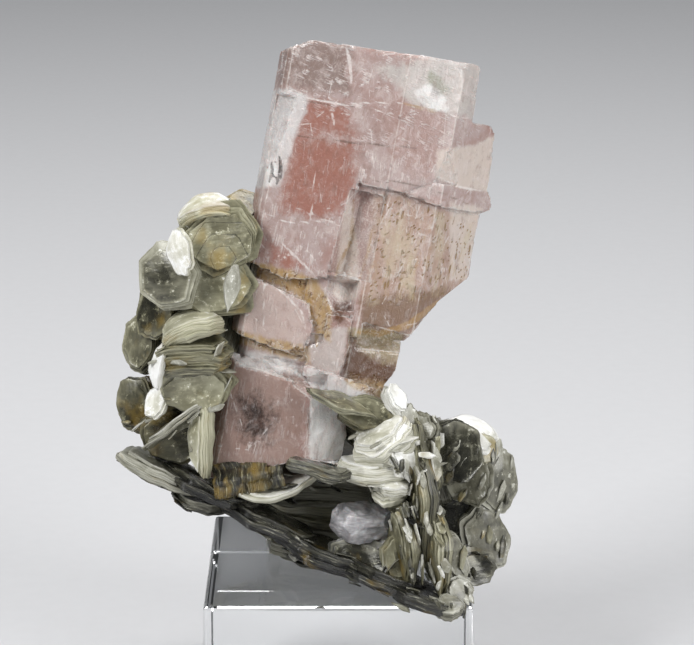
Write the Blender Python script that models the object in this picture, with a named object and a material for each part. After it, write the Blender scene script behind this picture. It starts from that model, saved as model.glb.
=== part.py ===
"""A pink fluorapatite crystal growing out of silvery muscovite books, on a clear block.

Lengths are written in millimetres and turned into metres where a mesh is made.
The origin is the middle of the block's underside, +X is to the viewer's right,
+Y is away from the viewer and +Z is up.
"""

import math
import random
from collections import namedtuple

import bmesh
import bpy
from mathutils import Matrix, Vector

MM = 0.001
GAP = 0.3

# Clear block
BLOCK_WIDTH = 38.1
BLOCK_HEIGHT = 20.0
BLOCK_BEVEL = 0.5

# Crystal: a six-sided prism that leans to the right and backwards as it rises.
# Its own directions are across (to the right), depth (away from the viewer) and height.
# A face is the angle that it is turned to the right of facing the viewer, its distance
# from the prism's axis, and the width taken off the edge between it and the next face.
PRISM_FACES = [(-15, 14.3, 2.4), (45, 15.2, 0.5), (105, 15.4, 0.4), (165, 15.0, 0.7),
               (225, 8.6, 0.4), (285, 18.4, 0.3)]
PRISM_FOOT = Vector((-1.9, 1.0, 35.2))
LEAN_RIGHT = 0.1907
LEAN_BACK = 0.2126
PRISM_TOP = 62.0
PRISM_BOTTOM = -4.5
SLAB_FRONT = -22.0
DEEP = 20.0

# Rough feldspar grain in the hollow under the crystal
GRAIN_CENTRE = Vector((3.3, -12.2, 30.2))
GRAIN_REACH = Vector((4.9, 4.2, 3.1))
GRAIN_GAP = 0.36

# A slab is a stretch of the crystal between two cracks: its outline as the viewer sees
# it, in across and height, how far its front lies behind the prism's faces, and the
# depth of its back
Slab = namedtuple("Slab", "name outline recess back")

# A chip is a flake knocked off the crystal: a point on the fresh face, the way that face
# looks, and how far it reaches across and upwards from the point
Chip = namedtuple("Chip", "point facing reach")

# A book is a stack of mica sheets: a rough disc with a normal, the direction of its
# length, its half length and half width, its thickness, and the radii of its curl
# along and across (0 is flat, a minus sign curls it the other way)
Book = namedtuple("Book", "name centre normal along reach thick curl layers")

BOOK_SIDES = 7
CORNER_SWING = 0.16
CORNER_REACH = (0.88, 1.06)
LAYER_SHRINK = 0.07
LAYER_LAP = 0.12
INNER_RING = 0.55

SLABS = [
    Slab("cap",
         [(-20, 50.5), (-20, 56.0), (-13.5, 59.6), (-8.7, 59.8), (10.5, 60.5), (11.0, 59.9),
          (11.1, 56.2), (11.4, 50.5)],
         0.0, 13.0),
    Slab("shoulder",
         [(-20, 37.5), (-20, 51.5), (14.2, 52.5), (15.1, 51.3), (15.4, 46.9), (15.6, 43.3),
          (16.8, 41.0), (16.4, 40.2), (15.3, 39.6), (9.0, 39.6), (3.0, 40.6), (-3.8, 40.9),
          (-3.8, 37.5)],
         0.0, DEEP),
    Slab("front column",
         [(-20, 27.8), (-20, 39.0), (-3.2, 41.5), (-2.9, 34.7), (-2.4, 27.9), (-6.8, 26.4),
          (-11.0, 25.6)],
         0.0, 0.0),
    Slab("pitted face",
         [(-8, 18.5), (-8, 42.0), (15.4, 41.0), (15.1, 36.7), (15.2, 33.3), (15.4, 30.2),
          (14.5, 29.3), (11.6, 26.4), (9.3, 23.0), (7.4, 19.8)],
         1.2, 15.5),
    Slab("pale block",
         [(-20, 17.2), (-20, 26.1), (-13.4, 24.8), (-6.9, 23.0), (-5.8, 19.9), (-6.4, 14.9)],
         0.2, 0.0),
    Slab("stained core",
         [(-20, 8.0), (-20, 32.0), (-3.0, 32.0), (-1.0, 20.0), (-3.5, 8.0)],
         1.5, DEEP),
    Slab("lilac block",
         [(-7.4, 13.4), (-6.6, 17.0), (-4.3, 18.0), (-4.3, 22.0), (-0.7, 22.4), (-0.2, 18.3),
          (-0.9, 13.0)],
         0.9, 0.0),
    Slab("amber block",
         [(-2.0, 11.5), (-1.6, 21.6), (0.6, 21.4), (7.1, 19.7), (7.2, 18.3), (7.0, 15.5),
          (5.6, 12.6), (5.0, 11.5)],
         2.1, DEEP),
    Slab("pale ledge",
         [(-7.4, 13.4), (-6.0, 14.4), (-0.9, 13.9), (5.4, 12.8), (8.3, 11.4), (7.8, 10.2),
          (1.0, 10.6), (-4.6, 11.3)],
         0.6, 4.0),
    Slab("base block",
         [(-20, -5), (-20, 13.9), (-16.1, 13.9), (-11.9, 13.6), (-9.4, 12.4), (-4.6, 11.4),
          (1.2, 8.9), (1.9, 5.6), (1.8, 1.6), (-5.6, 0.2), (-10.1, -1.9), (-12.0, -5)],
         0.0, DEEP),
    Slab("heart",
         [(-13, -6), (-13, 46), (5.5, 46), (5.5, -6)],
         4.0, DEEP),
]

CHIPS = [
    Chip((-14.6, -11.6, 44.5), (-0.80, -0.60, 0.10), (4, 6.5)),
    Chip((11.6, -10.6, 46.0), (0.55, -0.80, -0.10), (5, 2.9)),
    Chip((-4.2, -13.0, 34.0), (0.80, -0.60, -0.08), (2.5, 5.9)),
    Chip((-13.0, -11.2, 12.6), (-0.10, -0.75, 0.80), (7, 1.8)),
    Chip((-4.8, -13.2, 10.4), (0.15, -0.80, 0.70), (2.2, 2.0)),
    Chip((-1.2, -12.3, 6.0), (0.45, -0.85, 0.05), (4, 4.6)),
    Chip((7.0, -12.6, 22.0), (0.15, -0.80, -0.60), (6, 4.0)),
    Chip((-3.0, -11.8, 24.6), (0.2, -0.85, 0.30), (1.8, 2.0)),
    Chip((8.0, 9.0, 58.5), (0.5, 0.55, 0.9), (8, 8)),
    Chip((-9.0, 5.2, 50.0), (-0.55, 1.0, 0.45), (9, 8)),
    Chip((13.4, 8.0, 36.0), (0.95, 0.6, -0.5), (8, 7)),
]

UPPER_LEFT = [
    Book("arch", (-19.0, -2.5, 74.1), (-0.22, -0.10, 0.97), (1, 0, 0.2), (5.4, 5.0), 2.6, (5.0, 0), 2),
    Book("growth plate", (-16.6, -4.6, 70.2), (-0.25, -0.85, 0.45),
         (1, 0, 0.2), (5.8, 4.8), 3.0, (0, 0), 3),
    Book("white petal", (-21.9, -8.9, 69.0), (-0.55, -0.80, 0.20),
         (0.48, 0, -0.88), (3.7, 2.1), 0.9, (7, 5), 1),
    Book("left lobe", (-24.2, -6.6, 65.6), (-0.35, -0.90, 0.25),
         (1, 0, 0.1), (5.3, 5.2), 2.6, (14, 14), 2),
    Book("olive plate", (-18.3, -4.6, 63.4), (0.10, -0.95, 0.30), (1, 0, 0), (5.6, 4.3), 3.4, (0, 0), 2),
    Book("pale wedge", (-14.9, -9.4, 64.2), (0.35, -0.93, 0.10), (0.2, 0, 1), (3.8, 1.3), 0.9, (0, 0), 1),
    Book("top chunk", (-13.6, 2.4, 72.2), (0.0, -0.5, 0.9), (1, 0, 0), (3.0, 4.2), 3.2, (0, 0), 1),
    Book("dark hollow plate", (-25.4, -2.5, 58.8), (-0.6, -0.75, 0.3),
         (0, 0, 1), (4.8, 4.2), 3.0, (0, 0), 1),
    Book("behind the dome", (-20.6, 1.2, 59.4), (-0.3, -0.9, 0.3), (1, 0, 0), (6.4, 4.4), 3.0, (0, 0), 1),
    Book("back of the lobe", (-20.0, 0.5, 67.0), (-0.5, 0.3, 0.8), (0, 1, 0), (7.0, 6.0), 4.0, (0, 0), 1),
    Book("inner left, upper", (-14.6, 3.6, 62.0), (-0.95, 0.05, 0.3),
         (0, 1, 0), (7.0, 8.5), 6.0, (0, 0), 1),
]

MIDDLE_LEFT = [
    Book("far plate, upper", (-28.3, -1.0, 53.4), (-0.45, -0.85, 0.25),
         (0, 0, 1), (4.6, 3.4), 3.2, (0, 0), 1),
    Book("far plate, lower", (-28.6, -1.5, 44.4), (-0.40, -0.85, 0.30),
         (0.25, 0, -1), (4.7, 3.7), 3.4, (0, 0), 1),
    Book("dome, upper", (-20.9, -8.0, 58.5), (-0.28, -0.08, 0.96),
         (1, 0, 0.28), (5.8, 5.2), 2.8, (6.1, 0), 2),
    Book("dome, lower", (-20.6, -8.4, 54.7), (-0.10, -0.05, 1.0),
         (1, 0, 0.1), (6.5, 5.7), 4.3, (15, 0), 3),
    Book("white flank", (-25.4, -10.6, 53.1), (-0.75, -0.60, 0.25),
         (-0.15, 0, 1), (3.5, 1.7), 1.1, (8, 0), 1),
    Book("under the dome", (-20.2, -8.0, 49.4), (-0.15, -0.95, 0.10),
         (1, 0, 0.2), (5.4, 3.4), 4.4, (0, 0), 2),
    Book("pale plate", (-25.8, -8.3, 46.9), (-0.5, -0.8, 0.3), (0.15, 0, -1), (2.9, 2.1), 1.4, (0, 0), 1),
    Book("inner left", (-18.6, 2.6, 50.0), (-0.92, 0.1, 0.3), (0, 1, 0), (8.0, 9.5), 7.5, (0, 0), 1),
]

MOUTH = [
    Book("upper lip", (-22.4, -8.2, 44.3), (-0.55, 0.35, 0.75),
         (0.78, 0, 0.62), (7.6, 4.6), 1.5, (0, 11), 2),
    Book("mouth back", (-22.6, -4.2, 41.0), (0.1, -0.97, 0.2), (1, 0, 0.2), (6.6, 5.0), 3.4, (0, 0), 1),
    Book("standing book", (-19.5, -11.2, 42.0), (-0.80, -0.58, 0.05),
         (0.12, 0, -1), (6.2, 2.3), 2.4, (12, 0), 2),
    Book("lower lip", (-25.3, -4.8, 35.5), (0.38, 0.06, 0.92),
         (0.89, -0.31, -0.33), (8.6, 6.4), 2.6, (0, 0), 2),
    Book("comb", (-13.0, -9.2, 36.3), (0.97, 0.15, 0.15), (0, 1, 0), (4.8, 2.6), 9.6, (0, 0), 1),
    Book("smile", (-9.4, -10.0, 34.5), (-0.10, 0.05, 1.0), (1, 0, 0.08), (7.4, 5.4), 1.5, (-17, 0), 1),
]

FOOT = [
    Book("keel, second", (-18.0, -5.4, 33.0), (0.40, 0.14, 0.90),
         (0.89, -0.31, -0.33), (9.4, 7.4), 2.4, (0, 0), 2),
    Book("keel, third", (-9.6, -7.4, 28.6), (0.40, 0.16, 0.90),
         (0.89, -0.31, -0.33), (9.4, 7.6), 2.4, (0, 0), 2),
    Book("keel, fourth", (-1.4, -10.4, 24.8), (0.38, 0.16, 0.90),
         (0.89, -0.31, -0.33), (9.6, 7.6), 2.8, (0, 0), 2),
    Book("keel, fifth", (7.0, -14.8, 22.9), (0.34, 0.16, 0.92),
         (0.89, -0.34, -0.30), (8.6, 7.0), 2.6, (0, 0), 2),
    Book("keel tip", (12.3, -19.4, 21.6), (0.24, 0.05, 0.96),
         (0.85, -0.45, -0.2), (6.0, 5.4), 2.2, (0, 0), 1),
    Book("foot lobe", (-1.5, -2.2, 22.4), (0.12, 0.08, 0.98), (1, -0.3, 0), (8.0, 6.6), 3.0, (0, 0), 1),
    Book("under the keel", (-20.0, -4.6, 31.0), (0.30, 0.10, 0.95),
         (1, -0.3, -0.3), (4.6, 5.0), 1.6, (0, 0), 1),
    Book("glassy low plate", (3.6, -14.6, 25.8), (-0.15, -0.75, 0.65),
         (1, -0.3, 0), (5.4, 4.0), 2.4, (0, 0), 1),
    Book("olive window", (8.0, -15.4, 26.0), (0.3, -0.9, 0.3), (0, 0, 1), (3.8, 2.6), 2.0, (0, 0), 1),
    Book("bed, lowest", (1.0, 5.6, 22.9), (0.05, -0.03, 1.0), (1, 0.2, 0), (13.6, 12.6), 5.0, (0, 0), 1),
    Book("bed, middle", (2.0, 7.2, 27.4), (-0.04, 0.05, 1.0), (1, -0.1, 0), (14.5, 12.0), 4.8, (0, 0), 1),
    Book("bed, upper", (-3.6, 5.6, 32.0), (0.05, -0.04, 1.0), (1, 0, 0), (15.5, 11.4), 5.0, (0, 0), 1),
]

MIDDLE_RIGHT = [
    Book("dark streak", (0.6, -13.2, 48.3), (0.38, -0.05, 0.92),
         (0.92, 0, -0.4), (5.8, 3.4), 1.1, (0, 0), 1),
    Book("green plate", (4.0, -10.6, 46.0), (0.1, -0.85, 0.5), (1, 0, -0.2), (4.6, 2.8), 3.0, (0, 0), 1),
    Book("black edge", (-3.2, -15.4, 39.5), (0.20, 0.12, 0.97),
         (0.97, -0.1, -0.2), (5.8, 3.6), 1.9, (0, 0), 1),
    Book("cream wedge", (6.4, -12.2, 42.6), (-0.40, -0.25, 0.87),
         (0.9, 0, 0.42), (6.0, 5.6), 4.6, (0, 0), 3),
    Book("cream foot", (5.5, -12.4, 38.6), (0.02, 0.05, 1.0), (1, 0, 0), (6.4, 5.4), 2.8, (0, 0), 1),
    Book("white face", (9.5, -15.0, 41.9), (0.5, -0.75, 0.4), (0.3, 0, 1), (3.5, 2.9), 2.0, (8, 0), 1),
    Book("white bit", (7.9, -10.6, 48.0), (0.6, -0.6, 0.5), (-0.1, 0, 1), (3.4, 2.0), 2.4, (0, 0), 1),
    Book("grey knob", (9.9, -10.8, 44.6), (0.2, -0.85, 0.4), (0, 0, 1), (2.9, 1.9), 2.6, (0, 0), 1),
    Book("second knob", (12.0, -11.0, 43.8), (-0.3, -0.85, 0.4), (1, 0, 0), (2.6, 2.9), 3.0, (0, 0), 1),
    Book("cream lobe", (7.3, -14.0, 36.3), (0.0, -0.10, 1.0), (1, 0, 0), (3.2, 4.0), 3.6, (7, 8), 2),
    Book("inner right", (8.0, -2.5, 38.0), (0.7, 0.2, 0.6), (0, 1, 0), (9.5, 8.0), 8.0, (0, 0), 1),
]

FAN = [
    Book("fan, olive", (9.4, -16.6, 28.0), (-0.93, -0.35, -0.1),
         (0.16, -0.12, -1), (6.8, 4.4), 2.4, (0, 0), 2),
    Book("fan, long", (11.6, -14.8, 35.2), (-0.95, -0.30, 0.0),
         (0.12, -0.28, -1), (12.0, 4.8), 2.8, (0, 0), 2),
    Book("fan, upper", (12.7, -11.8, 37.2), (-0.97, -0.15, 0.05),
         (0.05, -0.1, -1), (6.0, 4.8), 3.0, (0, 0), 2),
    Book("fan, grey", (14.0, -18.2, 28.0), (-0.90, -0.40, 0.0),
         (0.2, -0.22, -1), (7.0, 3.8), 2.8, (0, 0), 2),
    Book("fan, dark", (16.2, -16.6, 26.7), (0.45, -0.87, 0.1), (0.25, 0, -1), (4.5, 2.7), 2.4, (0, 0), 1),
    Book("fan, foot", (17.0, -18.6, 22.4), (0.3, -0.85, 0.4), (1, 0, 0), (2.3, 2.3), 2.0, (0, 0), 1),
    Book("fan, tip", (15.6, -22.2, 21.2), (0.1, -0.5, 0.85), (1, 0, 0), (2.3, 1.9), 1.8, (0, 0), 1),
]

ROSETTE = [
    Book("glass face", (16.2, -9.8, 40.6), (-0.15, -0.95, 0.25), (0, 0, 1), (4.8, 4.2), 3.4, (0, 0), 1),
    Book("white cap", (18.8, -7.6, 42.3), (0.18, -0.45, 0.87),
         (1, 0, -0.2), (5.2, 4.2), 2.0, (6.5, 9), 1),
    Book("yellow plate", (20.6, -8.2, 39.9), (0.3, -0.9, 0.3), (0, 0, 1), (2.9, 2.5), 1.8, (0, 0), 1),
    Book("right lobe", (22.4, -7.0, 34.6), (0.45, -0.87, 0.2),
         (0.05, 0, 1), (5.6, 3.6), 2.8, (16, 10), 2),
    Book("ridged plate", (18.9, -9.2, 36.0), (-0.3, -0.9, 0.3), (0.4, 0, -1), (4.0, 3.2), 1.2, (0, 0), 1),
    Book("dark recess", (17.4, -4.8, 31.2), (0.0, -0.97, 0.25), (1, 0, 0), (5.4, 6.6), 4.0, (0, 0), 1),
    Book("lower right", (21.4, -8.8, 26.0), (0.35, -0.9, 0.2), (-0.2, 0, 1), (5.0, 2.9), 2.2, (0, 9), 1),
    Book("lower right foot", (19.2, -12.4, 23.8), (0.3, -0.9, 0.3),
         (1, 0, 0), (2.9, 2.3), 2.4, (0, 0), 1),
    Book("rosette core", (16.0, -1.0, 35.0), (0.9, 0.1, 0.4), (0, 1, 0), (8.0, 8.0), 7.0, (0, 0), 1),
]

# Books behind the crystal, which the front view hides: they lean out from its foot
BACK_COUNT = 13
BACK_START = math.radians(-12)
BACK_SWEEP = math.radians(205)
BACK_CENTRE = Vector((-4.0, 6.5, 0.0))
BACK_RADIUS = Vector((17.0, 13.5, 0.0))


def crystal_frame():
    """Placement of the crystal: its across, depth and height directions and its foot."""
    height = Vector((LEAN_RIGHT, LEAN_BACK, 1.0)).normalized()
    away = Vector((0.0, 1.0, 0.0))
    depth = (away - height * away.dot(height)).normalized()
    across = depth.cross(height)
    frame = Matrix((across, depth, height)).transposed().to_4x4()
    frame.translation = PRISM_FOOT * MM
    return frame


def clear_scene():
    for old in list(bpy.data.objects):
        bpy.data.objects.remove(old, do_unlink=True)


def finish_material(name, colour, roughness, metallic=0.0, transmission=0.0, ior=1.5):
    material = bpy.data.materials.new(name)
    material.use_nodes = True
    shader = material.node_tree.nodes["Principled BSDF"]
    shader.inputs["Base Color"].default_value = (*colour, 1.0)
    shader.inputs["Roughness"].default_value = roughness
    shader.inputs["Metallic"].default_value = metallic
    shader.inputs["Transmission Weight"].default_value = transmission
    shader.inputs["IOR"].default_value = ior
    material.diffuse_color = (*colour, 1.0)
    return material


def mesh_object(name, bm):
    """Turns a bmesh in millimetres into an object in metres with its faces pointing out."""
    bmesh.ops.recalc_face_normals(bm, faces=bm.faces)
    bmesh.ops.scale(bm, vec=Vector((MM, MM, MM)), verts=bm.verts)
    mesh = bpy.data.meshes.new(name)
    bm.to_mesh(mesh)
    bm.free()
    piece = bpy.data.objects.new(name, mesh)
    bpy.context.scene.collection.objects.link(piece)
    return piece


def bake(piece):
    """Replaces an object's mesh by what its modifiers make of it."""
    graph = bpy.context.evaluated_depsgraph_get()
    result = bpy.data.meshes.new_from_object(piece.evaluated_get(graph))
    piece.modifiers.clear()
    piece.data = result


def combine(piece, others, operation):
    """Joins, cuts or trims a solid with other solids, which are then removed."""
    group = bpy.data.collections.new("operands")
    bpy.context.scene.collection.children.link(group)
    for other in others:
        group.objects.link(other)
    modifier = piece.modifiers.new(operation.lower(), "BOOLEAN")
    modifier.operation = operation
    modifier.solver = "EXACT"
    modifier.operand_type = "COLLECTION"
    modifier.collection = group
    bake(piece)
    for other in others:
        bpy.data.objects.remove(other, do_unlink=True)
    bpy.data.collections.remove(group)


def shells(bm):
    """Groups of faces that hang together."""
    waiting = set(bm.faces)
    groups = []
    while waiting:
        group = [waiting.pop()]
        for face in group:
            for edge in face.edges:
                for neighbour in edge.link_faces:
                    if neighbour in waiting:
                        waiting.remove(neighbour)
                        group.append(neighbour)
        groups.append(group)
    return groups


def keep_largest_shell(piece):
    """Fills the small closed hollows between joined books, and drops loose slivers."""
    bm = bmesh.new()
    bm.from_mesh(piece.data)
    bmesh.ops.triangulate(bm, faces=bm.faces)
    bmesh.ops.remove_doubles(bm, verts=bm.verts, dist=0.001 * MM)
    bmesh.ops.dissolve_degenerate(bm, edges=bm.edges, dist=0.0005 * MM)
    groups = sorted(shells(bm), key=lambda group: sum(face.calc_area() for face in group))
    for group in groups[:-1]:
        bmesh.ops.delete(bm, geom=group, context="FACES")
    bm.to_mesh(piece.data)
    bm.free()


def prism_corners(inset):
    """Cross-section of the prism with every face moved in by the inset."""
    corners = []
    following = PRISM_FACES[1:] + PRISM_FACES[:1]
    for (turn, distance, trim), (next_turn, next_distance, _) in zip(PRISM_FACES, following):
        corner = meeting(turn, distance - inset, next_turn, next_distance - inset)
        middle = turn + 30.0
        depth = outward(middle).dot(corner) - trim
        corners.append(meeting(turn, distance - inset, middle, depth))
        corners.append(meeting(middle, depth, next_turn, next_distance - inset))
    return corners


def outward(turn):
    """Direction, in across and depth, of a face turned to the right of the viewer."""
    return Vector((math.sin(math.radians(turn)), -math.cos(math.radians(turn))))


def meeting(turn, distance, other_turn, other_distance):
    """Where two upright faces meet, in across and depth."""
    one = outward(turn)
    two = outward(other_turn)
    spread = one.x * two.y - two.x * one.y
    return Vector(((distance * two.y - other_distance * one.y) / spread,
                   (one.x * other_distance - two.x * distance) / spread))


def loft(name, low, high):
    """A closed solid between two rings of points with the same count."""
    bm = bmesh.new()
    first = [bm.verts.new(point) for point in low]
    second = [bm.verts.new(point) for point in high]
    bm.faces.new(list(reversed(first)))
    bm.faces.new(second)
    count = len(first)
    for k in range(count):
        after = (k + 1) % count
        bm.faces.new((first[k], first[after], second[after], second[k]))
    return mesh_object(name, bm)


def prism_object(inset):
    """The prism that limits a slab's front and sides."""
    corners = prism_corners(inset)
    return loft("prism", [(*corner, PRISM_BOTTOM) for corner in corners],
                [(*corner, PRISM_TOP) for corner in corners])


def grown_outline(outline, growth):
    """The outline with every side moved out by the growth."""
    points = [Vector(point) for point in outline]
    area = sum(one.cross(two) for one, two in zip(points, points[1:] + points[:1]))
    turn = 1.0 if area > 0 else -1.0
    grown = []
    for k, here in enumerate(points):
        arriving = (here - points[k - 1]).normalized()
        leaving = (points[(k + 1) % len(points)] - here).normalized()
        one = Vector((arriving.y, -arriving.x)) * turn
        two = Vector((leaving.y, -leaving.x)) * turn
        grown.append(here + (one + two) * (growth / (1.0 + one.dot(two))))
    return grown


def slab_object(slab, growth=0.0):
    """A slab of the crystal: its outline drawn out in depth, within the prism."""
    outline = grown_outline(slab.outline, growth)
    front = [(across, SLAB_FRONT, height) for across, height in outline]
    back = [(across, slab.back + growth, height) for across, height in outline]
    piece = loft(slab.name, front, back)
    combine(piece, [prism_object(slab.recess - growth)], "INTERSECT")
    return piece


def crystal_clearance():
    """The room that the crystal takes up in its neighbours."""
    slabs = [slab_object(slab, GAP) for slab in SLABS]
    for slab in slabs:
        slab.matrix_world = crystal_frame()
    return slabs


def chip_object(chip):
    """A block whose one side is the fresh face that a lost flake leaves."""
    across, upward = chip.reach
    deep = 2 * max(chip.reach)
    bm = bmesh.new()
    bmesh.ops.create_cube(bm, size=1.0)
    bmesh.ops.scale(bm, verts=bm.verts, vec=(2 * across, 2 * upward, deep))
    bmesh.ops.translate(bm, verts=bm.verts, vec=(0, 0, deep / 2))
    facing = Vector(chip.facing).normalized()
    up = (Vector((0, 0, 1)) - facing * facing.z).normalized()
    turn = Matrix((up.cross(facing), up, facing)).transposed()
    bmesh.ops.rotate(bm, verts=bm.verts, cent=(0, 0, 0), matrix=turn)
    bmesh.ops.translate(bm, verts=bm.verts, vec=chip.point)
    return mesh_object("chip", bm)


def make_crystal():
    solids = [slab_object(slab) for slab in SLABS]
    crystal = solids[0]
    crystal.name = "fluorapatite"
    combine(crystal, solids[1:], "UNION")
    combine(crystal, [chip_object(chip) for chip in CHIPS], "DIFFERENCE")
    keep_largest_shell(crystal)
    crystal.matrix_world = crystal_frame()
    colour = finish_material("pink apatite", (0.72, 0.48, 0.46), 0.25, transmission=0.3, ior=1.63)
    crystal.data.materials.clear()
    crystal.data.materials.append(colour)


def curled(along, across, up, curl):
    """Bends a point of a flat plate, first along its length and then across its width."""
    length_radius, width_radius = curl
    if length_radius:
        angle = along / length_radius
        radius = length_radius + up
        along = radius * math.sin(angle)
        up = radius * math.cos(angle) - length_radius
    if width_radius:
        angle = across / width_radius
        radius = width_radius + up
        across = radius * math.sin(angle)
        up = radius * math.cos(angle) - width_radius
    return Vector((along, across, up))


def book_outline(seed):
    """Corners of a rough mica outline, as shares of the book's reach."""
    dice = random.Random(seed)
    corners = []
    for k in range(BOOK_SIDES):
        angle = math.tau * (k + dice.uniform(-CORNER_SWING, CORNER_SWING)) / BOOK_SIDES
        size = dice.uniform(*CORNER_REACH)
        corners.append((size * math.cos(angle), size * math.sin(angle)))
    return corners


def book_placement(book):
    normal = Vector(book.normal).normalized()
    along = Vector(book.along)
    along = (along - normal * along.dot(normal)).normalized()
    across = normal.cross(along)
    placement = Matrix((along, across, normal)).transposed().to_4x4()
    placement.translation = Vector(book.centre)
    return placement


def layer_object(book, layer, seed):
    """One thick layer of a book: a curled disc with a rough outline."""
    height = book.thick / book.layers
    low = -book.thick / 2 + layer * height - (LAYER_LAP if layer else 0.0)
    high = -book.thick / 2 + (layer + 1) * height
    shrink = 1.0 - LAYER_SHRINK * layer
    placement = book_placement(book)
    corners = book_outline(seed + layer)
    rings = (INNER_RING, 1.0) if any(book.curl) else (1.0,)
    bm = bmesh.new()
    sheets = []
    for up in (low, high):
        middle = bm.verts.new(placement @ curled(0, 0, up, book.curl))
        loops = []
        for ring in rings:
            loop = []
            for along, across in corners:
                spot = curled(along * ring * shrink * book.reach[0],
                              across * ring * shrink * book.reach[1], up, book.curl)
                loop.append(bm.verts.new(placement @ spot))
            loops.append(loop)
        sheets.append((middle, loops))
    for middle, loops in sheets:
        for k in range(BOOK_SIDES):
            after = (k + 1) % BOOK_SIDES
            bm.faces.new((middle, loops[0][k], loops[0][after]))
            for inner, outer in zip(loops, loops[1:]):
                bm.faces.new((inner[k], outer[k], outer[after], inner[after]))
    bottom = sheets[0][1][-1]
    top = sheets[1][1][-1]
    for k in range(BOOK_SIDES):
        after = (k + 1) % BOOK_SIDES
        bm.faces.new((bottom[k], bottom[after], top[after], top[k]))
    bmesh.ops.triangulate(bm, faces=bm.faces)
    return mesh_object("layer", bm)


def back_books():
    """Books around the hidden side of the crystal's foot, alternately low and high."""
    dice = random.Random(31)
    books = []
    for k in range(BACK_COUNT):
        angle = BACK_START + BACK_SWEEP * k / (BACK_COUNT - 1)
        out = Vector((math.cos(angle), math.sin(angle), 0.0))
        left = max(0.0, -out.x)
        centre = BACK_CENTRE + Vector((out.x * BACK_RADIUS.x, out.y * BACK_RADIUS.y, 0.0))
        centre.z = 27.0 + 3.5 * (k % 2) + 13.0 * left + dice.uniform(-1.0, 1.0)
        tilt = dice.uniform(0.25, 0.9)
        normal = out + Vector((0, 0, tilt))
        reach = (dice.uniform(5.5, 7.5), dice.uniform(5.0, 6.5))
        books.append(Book("back %d" % k, tuple(centre), tuple(normal), (-out.y, out.x, 0.0), reach,
                          dice.uniform(4.0, 5.5), (0, 0), 1))
    return books


def all_books():
    return UPPER_LEFT + MIDDLE_LEFT + MOUTH + FOOT + MIDDLE_RIGHT + FAN + ROSETTE + back_books()


def grain_object(growth=0.0):
    """The feldspar grain: a rough lump with a few broken faces."""
    dice = random.Random(5)
    bm = bmesh.new()
    bmesh.ops.create_icosphere(bm, subdivisions=2, radius=1.0)
    for vert in bm.verts:
        vert.co *= dice.uniform(0.90, 1.08)
        vert.co = Vector(vert.co[i] * (GRAIN_REACH[i] + growth) for i in range(3))
        vert.co += GRAIN_CENTRE
    return mesh_object("feldspar_grain", bm)


def block_object(growth=0.0):
    bm = bmesh.new()
    bmesh.ops.create_cube(bm, size=1.0)
    size = Vector((BLOCK_WIDTH, BLOCK_WIDTH, BLOCK_HEIGHT)) + Vector((2, 2, 2)) * growth
    bmesh.ops.scale(bm, verts=bm.verts, vec=size)
    bmesh.ops.translate(bm, verts=bm.verts, vec=(0, 0, BLOCK_HEIGHT / 2))
    bmesh.ops.bevel(bm, geom=bm.edges, offset=BLOCK_BEVEL, segments=2, profile=0.5, affect="EDGES")
    return mesh_object("clear_block", bm)


def make_muscovite():
    layers = []
    for number, book in enumerate(all_books()):
        for layer in range(book.layers):
            layers.append(layer_object(book, layer, 100 * number))
    mica = layers[0]
    mica.name = "muscovite_books"
    combine(mica, layers[1:], "UNION")
    combine(mica, crystal_clearance() + [grain_object(GRAIN_GAP), block_object(GAP)], "DIFFERENCE")
    keep_largest_shell(mica)
    mica.data.materials.clear()
    mica.data.materials.append(finish_material("silver mica", (0.48, 0.47, 0.36), 0.3))


def make_grain():
    grain = grain_object()
    combine(grain, crystal_clearance(), "DIFFERENCE")
    keep_largest_shell(grain)
    grain.data.materials.clear()
    grain.data.materials.append(finish_material("lilac grey feldspar", (0.50, 0.47, 0.50), 0.6))


def make_block():
    block = block_object()
    block.data.materials.append(
        finish_material("clear acrylic", (0.95, 0.96, 0.97), 0.03, transmission=1.0, ior=1.49))


def main():
    clear_scene()
    make_crystal()
    make_muscovite()
    make_grain()
    make_block()


main()
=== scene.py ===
import math
import random
from collections import namedtuple

import bmesh
import bpy
import numpy as np
from mathutils import Matrix, Vector, noise
from mathutils.bvhtree import BVHTree
from mathutils.kdtree import KDTree


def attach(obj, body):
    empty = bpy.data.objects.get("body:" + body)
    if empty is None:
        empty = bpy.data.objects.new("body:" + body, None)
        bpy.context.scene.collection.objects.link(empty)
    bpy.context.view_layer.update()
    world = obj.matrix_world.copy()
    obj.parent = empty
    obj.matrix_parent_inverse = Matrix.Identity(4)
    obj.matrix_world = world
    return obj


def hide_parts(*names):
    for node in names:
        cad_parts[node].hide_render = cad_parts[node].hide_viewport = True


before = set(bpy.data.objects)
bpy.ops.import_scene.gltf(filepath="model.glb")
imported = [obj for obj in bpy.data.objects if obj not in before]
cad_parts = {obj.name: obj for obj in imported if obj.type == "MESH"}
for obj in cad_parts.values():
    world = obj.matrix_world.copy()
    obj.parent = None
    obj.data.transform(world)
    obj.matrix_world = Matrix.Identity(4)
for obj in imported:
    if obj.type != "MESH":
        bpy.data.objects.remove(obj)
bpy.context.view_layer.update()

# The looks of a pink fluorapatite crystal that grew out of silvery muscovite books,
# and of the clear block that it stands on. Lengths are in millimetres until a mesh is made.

MM = 0.001

# Edges that turn more than this are shown sharp, and worn on the crystal
CRYSTAL_SHARP = math.radians(32)
MICA_SHARP = math.radians(38)
CRYSTAL_WORN = math.radians(18)

# Clear block, and the air between its underside and the floor
BLOCK_WIDTH = 38.1
BLOCK_HEIGHT = 20.0
FLOOR_GAP = 0.1

# The mica rests this far above the block, and as far out past its sides
RESTING_GAP = 0.05
BLOCK_MARGIN = 0.4

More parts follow.
